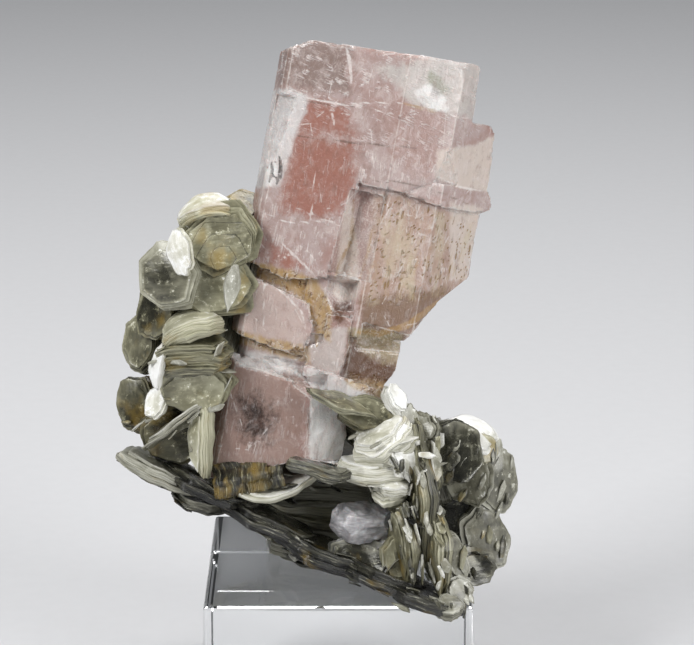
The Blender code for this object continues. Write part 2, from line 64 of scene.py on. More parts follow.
# Crystal: a leaning six-sided prism, in its own directions across, depth and height
PRISM_TURNS = range(-15, 345, 30)
PRISM_FOOT = Vector((-1.9, 1.0, 35.2))
LEAN_RIGHT = 0.1907
LEAN_BACK = 0.2126

# Its faces are scored into cells of this size, so that they can be worn and painted
CELL = 0.42

# How a kind of face is worn, in millimetres: its even depth, the depths of its fine grain,
# of its broad swells and of its ripples, and the size of the chips along its edges
Wear = namedtuple("Wear", "even fine broad ripple chip")
GROWN_WEAR = Wear(0.015, 0.02, 0.0, 0.0, 0.3)
BROKEN_WEAR = Wear(0.16, 0.14, 0.10, 0.03, 0.6)
EDGE_WEAR = 0.07

# The depths of the crystal's front and of its back
FRONT = (-40.0, 3.0)
BACK = (3.0, 40.0)

# A zone is a part of the crystal with a look of its own: its outline as the viewer sees it,
# in across and height, and the depths that it lies between
Zone = namedtuple("Zone", "look outline depths", defaults=(FRONT,))

# A vein is a line on the crystal's faces: its points in across and height, its half width
# and the depths that it lies between
Vein = namedtuple("Vein", "look points width depths", defaults=(FRONT,))

# A book is a stack of mica sheets: a rough disc with a normal, the direction of its
# length, its half length and half width, its thickness, the look of its sheets, the radii
# of its curl along and across (0 is flat, a minus sign curls it the other way), and the
# number of outlines that its sheets follow
Book = namedtuple("Book", "name centre normal along reach thick look curl layers",
                  defaults=((0, 0), 1))

# The look of a book, from 0, dark olive glass, to 1, white: its sheets' edges, the face
# near the rim, the middle of the face and its heart. Then the golden stain, how much the
# sheets differ in tone, how many growth steps the face has, how ragged the rim is, how
# much the stack rounds off at its foot and top, how thin it gets towards its far end, and
# how far its packets of sheets have slipped
Look = namedtuple("Look", "edge rim face heart gold contrast steps ragged round pinch slip")

# A book's outline: its corners, how unevenly they are spread, how far they reach, how much
# each outline shrinks upwards and how much its sides are rounded
BOOK_SIDES = 7
CORNER_SWING = 0.16
CORNER_REACH = (0.88, 1.06)
LAYER_SHRINK = 0.07
ROUNDING = 0.08

# The thickness of a packet of sheets, the spacing of the points around a rim, the fewest and
# the most of them, and the insets from the rim of the rings on a face
SHEET = 0.27
RIM_STEP = 0.42
RIM_POINTS = (18, 110)
RIM_INSETS = (1.2, 0.75, 0.4, 0.15)

# How much of its room a packet fills, how far the lowest packets reach, how often a packet
# slips, how much each growth step is smaller, and how far the growth lines' centre lies down
PACKET_FILL = 0.85
FOOT_REACH = (0.90, 0.95)
SLIP_CHANCE = 0.25
GROWTH_STEP = 0.11
GROWTH_CENTRE = 3.0

# Waves around a rim: how many and how high, for its breaks, its roughness, its patches of
# tone, its lifted sheets and its open gaps
FIRST_JAG = [(4, 0.5), (7, 0.35), (12, 0.25)]
NEXT_JAG = [(3, 0.4), (5, 0.4), (8, 0.35), (15, 0.25)]
ROUGH_RIM = [(6, 0.10), (13, 0.10), (29, 0.08)]
PATCHY_RIM = [(2, 0.08), (5, 0.08), (9, 0.07)]
LIFTED_RIM = [(2, 0.2), (3, 0.2), (6, 0.1)]
GAPING_RIM = [(2, 0.5), (3, 0.5), (7, 0.4)]

ZONES = [
    Zone("smoky", [(-17.5, 60.0), (-8.3, 60.0), (-7.0, 53.3), (-13.8, 52.4), (-17.5, 52.3)]),
    Zone("cloud", [(-3.9, 57.4), (0.7, 58.8), (4.8, 60.5), (12.0, 61.0), (12.0, 52.9), (7.4, 53.0),
                   (1.7, 53.2), (-0.5, 55.4), (-3.4, 56.5)]),
    Zone("white", [(1.7, 54.9), (4.0, 56.6), (6.8, 54.9), (7.3, 53.0), (4.6, 52.9)]),
    Zone("salmon", [(-13.6, 48.3), (-12.6, 51.2), (-7.1, 51.4), (-5.2, 47.2), (-12.8, 46.6)]),
    Zone("salmon", [(-13.8, 45.8), (-9.0, 46.2), (-5.0, 46.6), (-4.0, 41.0), (-4.4, 36.6),
                    (-8.2, 35.0), (-13.4, 35.0)]),
    Zone("salmon", [(-13.9, 30.2), (-8.3, 28.2), (-11.2, 27.0), (-13.0, 27.8)]),
    Zone("pale", [(6.7, 47.5), (11.5, 48.9), (15.2, 51.3), (16.4, 46.9), (16.6, 42.8), (11.1, 42.9),
                  (7.3, 43.8)]),
    Zone("pale", [(-4.3, 39.3), (-3.0, 36.4), (-1.3, 30.3), (-0.3, 25.0), (-2.6, 23.6), (-3.9, 24.9),
                  (-3.9, 29.9), (-4.4, 36.2)]),
    Zone("pale", [(10.1, 40.6), (15.2, 40.6), (15.2, 29.7), (12.4, 29.6)]),
    Zone("frost", [(-5.4, 14.0), (-0.1, 13.4), (8.8, 11.8), (8.2, 9.8), (-0.4, 10.5), (-5.6, 12.0)]),
    Zone("frost", [(-18.0, 51.5), (-14.8, 52.3), (-12.1, 51.5), (-13.0, 47.1), (-13.7, 40.8),
                   (-14.3, 38.4), (-18.0, 37.4)]),
    # Painted whiter than its frost: painted light on a face that the lamps leave in shade
    Zone("white", [(-4.4, 10.5), (0.8, 10.3), (2.4, 5.6), (2.2, 1.4), (-3.0, 1.4)]),
    Zone("frost", [(-17.0, 14.6), (-8.1, 14.5), (-5.3, 12.6), (-9.0, 12.4), (-15.2, 12.2)]),
    # This white patch is a painted highlight: the glint of an inner crack
    Zone("white", [(-17.2, 41.0), (-15.9, 41.0), (-15.2, 38.2), (-17.2, 37.7)]),
    Zone("pitted", [(-1.0, 39.5), (2.0, 40.6), (15.4, 38.4), (15.6, 36.7), (15.3, 30.0), (12.0, 26.8),
                    (5.2, 25.0), (1.0, 23.6), (-0.4, 25.6), (0.2, 31.0)]),
    Zone("gold", [(-18.0, 27.3), (-9.0, 27.0), (-6.5, 26.4), (-3.6, 23.0), (-3.1, 18.0), (-5.5, 19.3),
                  (-7.2, 23.0), (-11.5, 24.4), (-18.0, 25.8)]),
    Zone("gold", [(-18.0, 17.3), (-11.0, 17.0), (-6.0, 16.9), (-5.2, 14.4), (-12.0, 15.0),
                  (-18.0, 15.4)]),
    Zone("gold", [(-0.2, 14.4), (7.0, 14.8), (7.6, 12.4), (5.0, 11.4), (0.0, 12.8)]),
    Zone("brown", [(-3.8, 23.9), (-1.6, 23.9), (-1.4, 21.1), (-3.3, 21.1)]),
    Zone("brown", [(-0.6, 19.4), (1.8, 17.4), (7.2, 16.2), (8.0, 13.6), (-0.4, 13.4)]),
    Zone("amber", [(-1.0, 20.8), (6.9, 20.9), (7.6, 14.4), (0.0, 14.6)]),
    Zone("dusk", [(0.2, 25.0), (6.1, 26.8), (12.3, 28.6), (12.2, 25.5), (8.9, 21.6), (6.0, 18.9),
                  (0.4, 19.6)]),
    Zone("core", [(-13.9, 7.6), (-11.9, 8.2), (-9.8, 7.2), (-9.2, 3.8), (-10.8, 2.2), (-13.0, 2.8)]),
    Zone("moss", [(3.4, 58.2), (5.6, 57.6), (7.0, 55.8), (5.6, 55.2), (3.6, 56.6)]),
    Zone("mauve", [(-18.0, 13.6), (-6.2, 12.6), (-4.4, 8.0), (-4.2, -2.0), (-18.0, -6.0)]),
    Zone("lilac", [(-6.8, 17.2), (-5.1, 19.7), (-1.2, 20.6), (-0.5, 14.2), (-4.8, 14.0)]),
    Zone("blush", [(-18.5, 25.6), (-11.6, 24.4), (-7.4, 21.8), (-5.8, 17.0), (-11.0, 16.8),
                   (-18.5, 17.2)]),
    Zone("cloud", [(-10.0, 60.0), (4.0, 62.0), (6.0, 54.0), (-4.0, 50.0)], BACK),
    Zone("salmon", [(-9.0, 46.0), (3.0, 47.0), (6.0, 30.0), (-6.0, 28.0)], BACK),
    Zone("frost", [(4.0, 50.0), (18.0, 51.0), (17.0, 40.0), (8.0, 42.0)], BACK),
    Zone("pitted", [(6.0, 40.0), (17.0, 39.0), (16.0, 22.0), (4.0, 24.0)], BACK),
    Zone("gold", [(-18.0, 27.0), (0.0, 24.0), (14.0, 22.5), (14.0, 20.0), (-2.0, 21.0), (-18.0, 24.0)],
         BACK),
    Zone("mauve", [(-18.0, 14.0), (4.0, 12.0), (4.0, -6.0), (-18.0, -6.0)], BACK),
]

# The dark veins are partly real dark marks, such as an etch pit, and partly painted shadow lines
VEINS = [
    Vein("bright", [(-8.5, 59.4), (-7.7, 57.7), (-6.7, 54.2)], 0.25),
    Vein("bright", [(-14.8, 52.1), (-12.1, 51.3), (-7.2, 51.4), (-3.5, 52.4), (0.8, 53.1)], 0.16),
    Vein("bright", [(-9.0, 50.6), (-8.0, 48.1)], 0.14),
    Vein("bright", [(-9.9, 45.6), (-9.4, 39.5), (-9.0, 35.3), (-8.5, 28.6)], 0.10),
    Vein("bright", [(-12.2, 36.1), (-6.2, 34.8), (-4.0, 34.4)], 0.10),
    Vein("bright", [(-13.8, 24.8), (-12.5, 17.1)], 0.12),
    Vein("bright", [(7.4, 43.9), (11.1, 43.0), (15.8, 42.8)], 0.16),
    Vein("bright", [(-17.4, 34.0), (-16.6, 30.0), (-16.6, 26.8)], 0.20),
    Vein("bright", [(-13.2, 14.7), (-8.0, 13.5), (-4.8, 11.7), (0.5, 9.9)], 0.22),
    Vein("bright", [(9.3, 60.0), (9.3, 53.0)], 0.12),
    Vein("dark", [(-12.9, 45.9), (-6.2, 46.3), (0.1, 46.9), (5.7, 47.5)], 0.18),
    Vein("dark", [(-13.4, 50.9), (-7.1, 51.1), (-3.5, 52.1)], 0.12),
    Vein("dark", [(-6.2, 26.9), (-4.2, 26.8)], 0.22),
    # The chip veins and the white vein after them paint a glinting fracture: a real break whose black and
    # white are painted reflections
    Vein("chip", [(-14.9, 42.6), (-14.4, 41.2), (-14.3, 39.6), (-14.8, 38.2)], 0.30),
    Vein("chip", [(-15.9, 41.6), (-15.5, 40.4), (-15.6, 38.6)], 0.22),
    Vein("chip", [(-15.8, 41.3), (-15.0, 41.9)], 0.14),
    Vein("chip", [(-15.5, 39.9), (-14.6, 39.3)], 0.12),
    Vein("white", [(-15.3, 41.4), (-15.0, 39.3)], 0.30),
    Vein("dark", [(0.9, 40.8), (0.7, 38.7), (0.6, 37.2)], 0.35),
    Vein("dark", [(6.2, 28.1), (7.5, 27.3)], 0.45),
    Vein("bright", [(-17.6, 24.6), (-11.6, 24.2), (-7.8, 21.6), (-6.4, 18.2)], 0.14),
    Vein("bright", [(-12.8, 30.9), (-7.8, 27.6), (-6.6, 26.6)], 0.16),
    Vein("bright", [(-13.0, 27.6), (-9.6, 30.2)], 0.12),
    Vein("bright", [(-16.0, 34.4), (-12.0, 33.6), (-4.4, 35.4)], 0.12),
    Vein("dark", [(-4.2, 40.9), (1.6, 42.2), (7.4, 41.9), (13.2, 40.7)], 0.14),
    Vein("golden", [(0.8, 53.1), (2.5, 52.9), (6.1, 52.8)], 0.20),
    Vein("golden", [(-4.6, 25.2), (-2.6, 33.0), (-3.4, 38.6)], 0.20),
    Vein("golden", [(-0.8, 27.0), (-0.2, 31.5), (-0.4, 35.6)], 0.22),
    Vein("golden", [(2.7, 27.6), (3.0, 31.8)], 0.16),
    Vein("golden", [(6.9, 29.4), (7.2, 33.0)], 0.16),
    Vein("golden", [(0.4, 20.2), (3.6, 20.4), (7.4, 22.4), (11.6, 26.6)], 0.5),
    Vein("golden", [(-16.7, 27.0), (-10.0, 26.0), (-6.8, 23.6), (-5.2, 19.6), (-4.9, 17.2)], 0.45),
]

LOOKS = {
    # arch: a cream band with a near-white rim, partly a painted highlight
    "arch": Look(0.74, 0.95, 0.82, 0.76, 0.55, 0.12, 1, 0.05, 0.20, 0.0, 0.04),
    "cream dome": Look(0.64, 0.80, 0.66, 0.60, 0.10, 0.10, 1, 0.05, 0.32, 0.0, 0.04),
    "growth": Look(0.48, 0.52, 0.46, 0.44, 0.25, 0.2, 2, 0.12, 0.10, 0.0, 0.10),
    # white: near-white sheets, which paint the shine of the white flank, white face and white cap as a
    # painted highlight
    "white": Look(0.86, 0.94, 0.93, 0.92, 0.0, 0.2, 1, 0.2, 0.10, 0.2, 0.10),
    "lobe": Look(0.52, 0.54, 0.30, 0.14, 0.05, 0.25, 1, 0.08, 0.30, 0.0, 0.03),
    "olive": Look(0.50, 0.52, 0.50, 0.46, 0.20, 0.35, 1, 0.16, 0.10, 0.0, 0.10),
    "gold olive": Look(0.32, 0.34, 0.28, 0.24, 0.8, 0.35, 2, 0.12, 0.10, 0.2, 0.10),
    "dark olive": Look(0.30, 0.28, 0.20, 0.16, 0.25, 0.4, 1, 0.22, 0.08, 0.0, 0.14),
    "dull": Look(0.36, 0.42, 0.32, 0.28, 0.15, 0.3, 1, 0.15, 0.15, 0.0, 0.06),
    "glass": Look(0.26, 0.26, 0.16, 0.12, 0.0, 0.5, 2, 0.25, 0.05, 0.0, 0.16),
    "silver": Look(0.48, 0.50, 0.36, 0.30, 0.0, 0.35, 1, 0.20, 0.12, 0.0, 0.10),
    "streaked": Look(0.58, 0.55, 0.34, 0.28, 0.0, 0.6, 1, 0.2, 0.15, 0.35, 0.08),
    "keel": Look(0.04, 0.12, 0.06, 0.04, 0.0, 0.2, 1, 0.12, 0.0, 0.3, 0.08),
    "cream": Look(0.76, 0.86, 0.78, 0.76, 0.05, 0.4, 1, 0.2, 0.15, 0.1, 0.10),
    "pink": Look(0.60, 0.62, 0.56, 0.54, 0.0, 0.2, 1, 0.1, 0.15, 0.8, 0.04),
    "grey": Look(0.42, 0.48, 0.40, 0.34, 0.0, 0.6, 1, 0.3, 0.08, 0.0, 0.14),
    "blades": Look(0.40, 0.48, 0.32, 0.28, 0.15, 0.7, 1, 0.2, 0.0, 0.8, 0.10),
    # white splinter: painted glints that make the books sparkle
    "white splinter": Look(0.74, 0.78, 0.72, 0.72, 0.0, 0.2, 0, 0.02, 0.0, 0.0, 0.05),
    # silver splinter: silvery slivers, which on the keel also paint its silvery highlights
    "silver splinter": Look(0.52, 0.54, 0.50, 0.48, 0.0, 0.2, 0, 0.02, 0.0, 0.0, 0.05),
    "olive splinter": Look(0.42, 0.44, 0.40, 0.40, 0.3, 0.2, 0, 0.02, 0.0, 0.0, 0.05),
    "dark splinter": Look(0.22, 0.24, 0.20, 0.20, 0.0, 0.2, 0, 0.02, 0.0, 0.0, 0.05),
    "comb": Look(0.08, 0.14, 0.08, 0.06, 0.5, 0.45, 1, 0.3, 0.0, 0.0, 0.10),
}

# The books by their place on the specimen, as the viewer sees it
UPPER_LEFT = [
    Book("arch", (-19.0, -3.0, 74.6), (-0.22, -0.10, 0.97),
         (1, 0, 0.2), (5.8, 4.4), 1.5, "arch", (5.0, 0), 2),
    Book("growth plate", (-16.6, -4.6, 70.2), (-0.10, -0.95, 0.28),
         (1, 0, 0.2), (6.6, 5.8), 3.0, "growth", layers=3),
    Book("white petal", (-21.9, -8.9, 69.0), (-0.55, -0.80, 0.20),
         (0.48, 0, -0.88), (4.6, 2.5), 0.9, "cream", (11, 8)),
    Book("left lobe", (-24.0, -6.6, 65.1), (-0.35, -0.90, 0.25),
         (1, 0, 0.1), (5.5, 6.0), 2.6, "lobe", (14, 14), 2),
    Book("olive plate", (-17.4, -4.6, 63.2), (0.10, -0.95, 0.30),
         (1, 0, 0), (6.8, 5.2), 3.4, "olive", layers=2),
    Book("pale wedge", (-14.9, -9.4, 64.2), (0.35, -0.93, 0.10),
         (-0.25, 0, -1), (3.9, 1.7), 0.9, "pink"),
    Book("top chunk", (-13.6, 2.4, 72.2), (0.0, -0.5, 0.9),
         (1, 0, 0), (3.0, 4.2), 3.2, "gold olive"),
    Book("dark hollow plate", (-25.4, -2.5, 58.8), (-0.6, -0.75, 0.3),
         (0, 0, 1), (4.8, 4.2), 3.0, "dark olive"),
    Book("behind the dome", (-20.6, 1.2, 59.4), (-0.3, -0.9, 0.3),
         (1, 0, 0), (6.4, 4.4), 3.0, "dark olive"),
    Book("back of the lobe", (-20.0, 0.5, 67.0), (-0.5, 0.3, 0.8),
         (0, 1, 0), (7.0, 6.0), 4.0, "silver"),
    Book("inner left, upper", (-14.6, 3.6, 62.0), (-0.95, 0.05, 0.3),
         (0, 1, 0), (7.0, 8.5), 6.0, "silver"),
]

MIDDLE_LEFT = [
    Book("far plate, upper", (-28.3, -1.0, 53.4), (-0.45, -0.85, 0.25),
         (0, 0, 1), (4.6, 3.4), 3.2, "dull"),
    Book("far plate, lower", (-28.6, -1.5, 44.4), (-0.40, -0.85, 0.30),
         (0.25, 0, -1), (4.7, 3.7), 3.4, "dark olive"),
    Book("dome, upper", (-20.9, -8.0, 58.5), (-0.28, -0.08, 0.96),
         (1, 0, 0.28), (5.8, 5.2), 2.8, "cream dome", (6.1, 0), 2),
    # Its dull look is partly painted shade: darker than the dome above it, under which it lies
    Book("dome, lower", (-20.6, -8.4, 54.7), (-0.10, -0.05, 1.0),
         (1, 0, 0.1), (6.5, 5.7), 4.3, "dull", (9, 0), 3),
    # Painted white where it shines: a painted highlight
    Book("white flank", (-25.4, -10.6, 53.1), (-0.75, -0.60, 0.25),
         (-0.15, 0, 1), (3.5, 1.7), 1.1, "white", (8, 0)),
    Book("under the dome", (-20.2, -8.0, 49.4), (-0.15, -0.95, 0.10),
         (1, 0, 0.2), (6.2, 4.2), 4.4, "olive", layers=2),
    Book("pale plate", (-25.8, -8.3, 46.9), (-0.5, -0.8, 0.3),
         (0.15, 0, -1), (2.9, 2.1), 1.4, "cream"),
    Book("inner left", (-18.6, 2.6, 50.0), (-0.92, 0.1, 0.3),
         (0, 1, 0), (8.0, 9.5), 7.5, "silver"),
]

MOUTH = [
    Book("upper lip", (-22.4, -8.2, 44.3), (-0.55, 0.35, 0.75),
         (0.78, 0, 0.62), (8.0, 4.6), 1.1, "streaked", (0, 11), 2),
    Book("mouth back", (-22.6, -4.2, 41.0), (0.1, -0.97, 0.2),
         (1, 0, 0.2), (6.6, 5.0), 3.4, "dark olive"),
    Book("standing book", (-19.5, -11.2, 42.0), (-0.80, -0.58, 0.05),
         (0.12, 0, -1), (6.2, 2.3), 2.4, "cream dome", (12, 0), 2),
    Book("lower lip", (-25.3, -4.8, 35.5), (0.38, 0.06, 0.92),
         (0.89, -0.31, -0.33), (8.6, 6.4), 2.6, "streaked", layers=2),
    Book("comb", (-13.0, -9.2, 36.3), (0.97, 0.15, 0.15),
         (0, 1, 0), (4.8, 2.6), 9.6, "comb"),
    Book("smile", (-9.4, -10.0, 34.5), (-0.10, 0.05, 1.0),
         (1, 0, 0.08), (7.4, 5.4), 1.1, "cream", (-17, 0)),
]

FOOT = [
    Book("keel, second", (-18.0, -5.4, 33.0), (0.40, 0.14, 0.90),
         (0.89, -0.31, -0.33), (9.4, 7.4), 2.4, "keel", layers=2),
    Book("keel, third", (-9.6, -7.4, 28.6), (0.40, 0.16, 0.90),
         (0.89, -0.31, -0.33), (9.4, 7.6), 2.4, "keel", layers=2),
    Book("keel, fourth", (-1.4, -10.4, 24.8), (0.38, 0.16, 0.90),
         (0.89, -0.31, -0.33), (9.6, 7.6), 2.8, "keel", layers=2),
    Book("keel, fifth", (7.0, -14.8, 22.9), (0.34, 0.16, 0.92),
         (0.89, -0.34, -0.30), (8.6, 7.0), 2.6, "keel", layers=2),
    Book("keel tip", (12.3, -19.4, 21.6), (0.24, 0.05, 0.96),
         (0.85, -0.45, -0.2), (6.0, 5.4), 2.2, "keel"),
    Book("foot lobe", (-1.5, -2.2, 22.4), (0.12, 0.08, 0.98),
         (1, -0.3, 0), (8.0, 6.6), 3.0, "glass"),
    Book("under the keel", (-20.0, -4.6, 31.0), (0.30, 0.10, 0.95),
         (1, -0.3, -0.3), (4.6, 5.0), 1.6, "glass"),
    Book("glassy low plate", (3.6, -14.6, 25.8), (-0.15, -0.75, 0.65),
         (1, -0.3, 0), (5.4, 4.0), 2.4, "glass"),
    Book("olive window", (8.0, -15.4, 26.0), (0.3, -0.9, 0.3),
         (0, 0, 1), (3.8, 2.6), 2.0, "olive"),
    Book("bed, lowest", (1.0, 5.6, 22.9), (0.05, -0.03, 1.0),
         (1, 0.2, 0), (13.6, 12.6), 5.0, "silver"),
    Book("bed, middle", (2.0, 7.2, 27.4), (-0.04, 0.05, 1.0),
         (1, -0.1, 0), (14.5, 12.0), 4.8, "olive"),
    Book("bed, upper", (-3.6, 5.6, 32.0), (0.05, -0.04, 1.0),
         (1, 0, 0), (15.5, 11.4), 5.0, "silver"),
]

MIDDLE_RIGHT = [
    Book("dark streak", (0.6, -13.2, 48.3), (0.38, -0.05, 0.92),
         (0.92, 0, -0.4), (5.8, 3.4), 1.1, "blades"),
    Book("green plate", (4.0, -10.6, 46.0), (0.1, -0.85, 0.5),
         (1, 0, -0.2), (4.6, 2.8), 3.0, "dull"),
    Book("black edge", (-3.2, -15.4, 39.5), (0.20, 0.12, 0.97),
         (0.97, -0.1, -0.2), (5.8, 3.6), 1.9, "glass"),
    Book("cream wedge", (6.4, -12.2, 42.6), (-0.40, -0.25, 0.87),
         (0.9, 0, 0.42), (6.0, 5.6), 4.6, "cream", layers=3),
    Book("cream foot", (5.5, -12.4, 38.6), (0.02, 0.05, 1.0),
         (1, 0, 0), (6.4, 5.4), 2.8, "cream"),
    # Painted white where it shines: a painted highlight
    Book("white face", (9.5, -15.0, 41.9), (0.5, -0.75, 0.4),
         (0.3, 0, 1), (4.4, 3.3), 2.0, "white", (8, 0)),
    Book("white bit", (7.9, -10.6, 48.0), (0.6, -0.6, 0.5),
         (-0.1, 0, 1), (2.7, 1.6), 2.2, "white"),
    Book("grey knob", (9.9, -10.8, 44.6), (0.2, -0.85, 0.4),
         (0, 0, 1), (2.9, 1.9), 2.6, "grey"),
    Book("second knob", (12.0, -11.0, 43.8), (-0.3, -0.85, 0.4),
         (1, 0, 0), (2.6, 2.9), 3.0, "grey"),
    Book("cream lobe", (7.3, -14.0, 36.3), (0.0, -0.10, 1.0),
         (1, 0, 0), (3.2, 4.0), 3.6, "cream", (7, 8), 2),
    Book("inner right", (8.0, -2.5, 38.0), (0.7, 0.2, 0.6),
         (0, 1, 0), (9.5, 8.0), 8.0, "silver"),
]

FAN = [
    Book("fan, olive", (9.4, -16.6, 28.0), (-0.93, -0.35, -0.1),
         (0.16, -0.12, -1), (6.8, 4.4), 2.4, "blades", layers=2),
    Book("fan, long", (11.6, -14.8, 35.2), (-0.95, -0.30, 0.0),
         (0.12, -0.28, -1), (12.0, 4.8), 2.8, "blades", layers=2),
    Book("fan, upper", (12.7, -11.8, 37.2), (-0.97, -0.15, 0.05),
         (0.05, -0.1, -1), (6.0, 4.8), 3.0, "blades", layers=2),
    Book("fan, grey", (14.0, -18.2, 28.0), (-0.90, -0.40, 0.0),
         (0.2, -0.22, -1), (7.0, 3.8), 2.8, "blades", layers=2),
    Book("fan, dark", (16.2, -16.6, 26.7), (0.45, -0.87, 0.1),
         (0.25, 0, -1), (4.5, 2.7), 2.4, "silver"),
    Book("fan, foot", (17.0, -18.6, 22.4), (0.3, -0.85, 0.4),
         (1, 0, 0), (2.3, 2.3), 2.0, "grey"),
    Book("fan, tip", (15.6, -22.2, 21.2), (0.1, -0.5, 0.85),
         (1, 0, 0), (2.3, 1.9), 1.8, "grey"),
]

ROSETTE = [
    Book("glass face", (16.2, -9.8, 40.6), (-0.15, -0.95, 0.25),
         (0, 0, 1), (5.6, 5.0), 3.4, "glass"),
    # Painted white where it shines: a painted highlight
    Book("white cap", (18.8, -7.6, 42.3), (0.18, -0.45, 0.87),
         (1, 0, -0.2), (5.2, 4.2), 2.0, "white", (6.5, 9)),
    Book("yellow plate", (20.6, -8.2, 39.9), (0.3, -0.9, 0.3),
         (0, 0, 1), (2.9, 2.5), 1.8, "olive"),
    Book("right lobe", (22.4, -7.0, 34.6), (0.45, -0.87, 0.2),
         (0.05, 0, 1), (6.0, 4.2), 2.8, "silver", (16, 10), 2),
    Book("ridged plate", (18.9, -9.2, 36.0), (-0.3, -0.9, 0.3),
         (0.4, 0, -1), (4.8, 4.0), 1.2, "grey"),
    Book("dark recess", (17.4, -4.8, 31.2), (0.0, -0.97, 0.25),
         (1, 0, 0), (5.4, 6.6), 4.0, "glass"),
    Book("lower right", (21.0, -8.8, 26.4), (0.35, -0.9, 0.2),
         (-0.2, 0, 1), (5.6, 4.0), 2.2, "silver", (0, 9)),
    Book("lower right foot", (19.2, -12.4, 23.8), (0.3, -0.9, 0.3),
         (1, 0, 0), (3.6, 3.0), 2.4, "glass"),
    Book("rosette core", (16.0, -1.0, 35.0), (0.9, 0.1, 0.4),
         (0, 1, 0), (8.0, 8.0), 7.0, "silver"),
]

# How often the feldspar grain's faces are split, and its flat breaks: the way each one
# faces and its distance from the middle
GRAIN_SPLITS = 4
GRAIN_FACETS = [((0.25, -0.3, 0.9), 2.6), ((-0.75, -0.5, -0.4), 3.4), ((0.3, -0.85, -0.45), 3.0),
                ((0.9, -0.3, 0.2), 4.0), ((-0.8, -0.4, 0.5), 3.7)]

# Sheets deeper than this in the crystal or the grain are left out. The ray tells the
# inside of a solid from its outside
BURIED = 0.25
RAY = Vector((0.31, 0.84, 0.44)).normalized()

# Books behind the crystal: they lean out from its foot, every second one a step higher,
# and rise towards the left
BACK_COUNT = 13
BACK_START = math.radians(-12)
BACK_SWEEP = math.radians(205)
BACK_CENTRE = Vector((-4.0, 6.5, 0.0))
BACK_RADIUS = Vector((17.0, 13.5, 0.0))
BACK_HEIGHT = 27.0
BACK_STEP = 3.5
BACK_RISE = 13.0
BACK_TILT = (0.25, 0.9)
BACK_LENGTH = (5.5, 7.5)
BACK_WIDTH = (5.0, 6.5)
BACK_THICK = (4.0, 5.5)
BACK_LOOKS = ("silver", "grey", "streaked", "olive", "dark olive")

# Splinters that lie on the books: where they are, how many, the way that they point
# and their looks
Splinters = namedtuple("Splinters", "low high count along looks")
# Their white looks are painted glints, and on the keel the silver ones partly paint its silvery highlights
SPLINTERS = [
    Splinters((-30.0, -25.0, 20.0), (12.0, 2.0, 38.0), 90, (0.89, -0.31, -0.33),
              ("keel", "silver splinter", "keel", "dark splinter")),
    Splinters((6.0, -25.0, 25.5), (15.0, -10.0, 42.0), 80, (0.10, -0.15, -1.0),
              ("dark splinter", "olive splinter", "silver splinter", "white splinter")),
    Splinters((15.0, -20.0, 24.0), (26.0, 4.0, 43.0), 50, (0.3, 0.0, 1.0),
              ("dark splinter", "silver splinter", "olive splinter", "dark splinter",
               "silver splinter")),
    Splinters((2.0, -18.0, 36.0), (14.0, -6.0, 50.0), 24, (0.9, 0.0, 0.4),
              ("white splinter", "silver splinter", "white splinter")),
    Splinters((11.0, -25.0, 19.0), (20.0, -15.0, 27.0), 45, (0.5, -0.5, -0.6),
              ("silver splinter", "dark splinter", "white splinter", "silver splinter")),
    Splinters((-30.0, -14.0, 40.0), (-15.0, 4.0, 76.0), 40, (1.0, 0.0, 0.2),
              ("olive splinter", "silver splinter", "white splinter")),
    Splinters((-26.0, 2.0, 22.0), (24.0, 26.0, 48.0), 110, (0.2, 0.1, 1.0),
              ("silver splinter", "olive splinter", "dark splinter")),
]

# A splinter's half length, its width as a share of that, its thickness, how much it is
# turned, how deep it sinks in, and its corners and how far they reach
SPLINTER_REACH = (0.9, 2.6)
SPLINTER_SHAPE = (0.22, 0.5)
SPLINTER_THICK = (0.12, 0.3)
SPLINTER_SKEW = 0.2
SPLINTER_SINK = 0.05
SPLINTER_SIDES = 5
SPLINTER_CORNERS = (0.55, 1.05)

# Splinters that look away from the viewer are kept only in groups that lie behind this depth
SPLINTER_BACK = 0.0
SPLINTER_AWAY = 0.4


class Value:
    """A number that varies over a surface, with the arithmetic that the finishes use."""

    def __init__(self, finish, socket):
        self.finish = finish
        self.socket = socket

    def maths(self, operation, *numbers):
        return self.finish.node("ShaderNodeMath", {"operation": operation}, dict(enumerate(numbers)))

    def __add__(self, other):
        return self.maths("ADD", self, other)

    def __sub__(self, other):
        return self.maths("SUBTRACT", self, other)

    def __rsub__(self, other):
        return self.maths("SUBTRACT", other, self)

    def __mul__(self, other):
        return self.maths("MULTIPLY", self, other)

    __radd__ = __add__
    __rmul__ = __mul__

    def greatest(self, other):
        return self.maths("MAXIMUM", self, other)

    def size(self):
        return self.maths("ABSOLUTE", self)


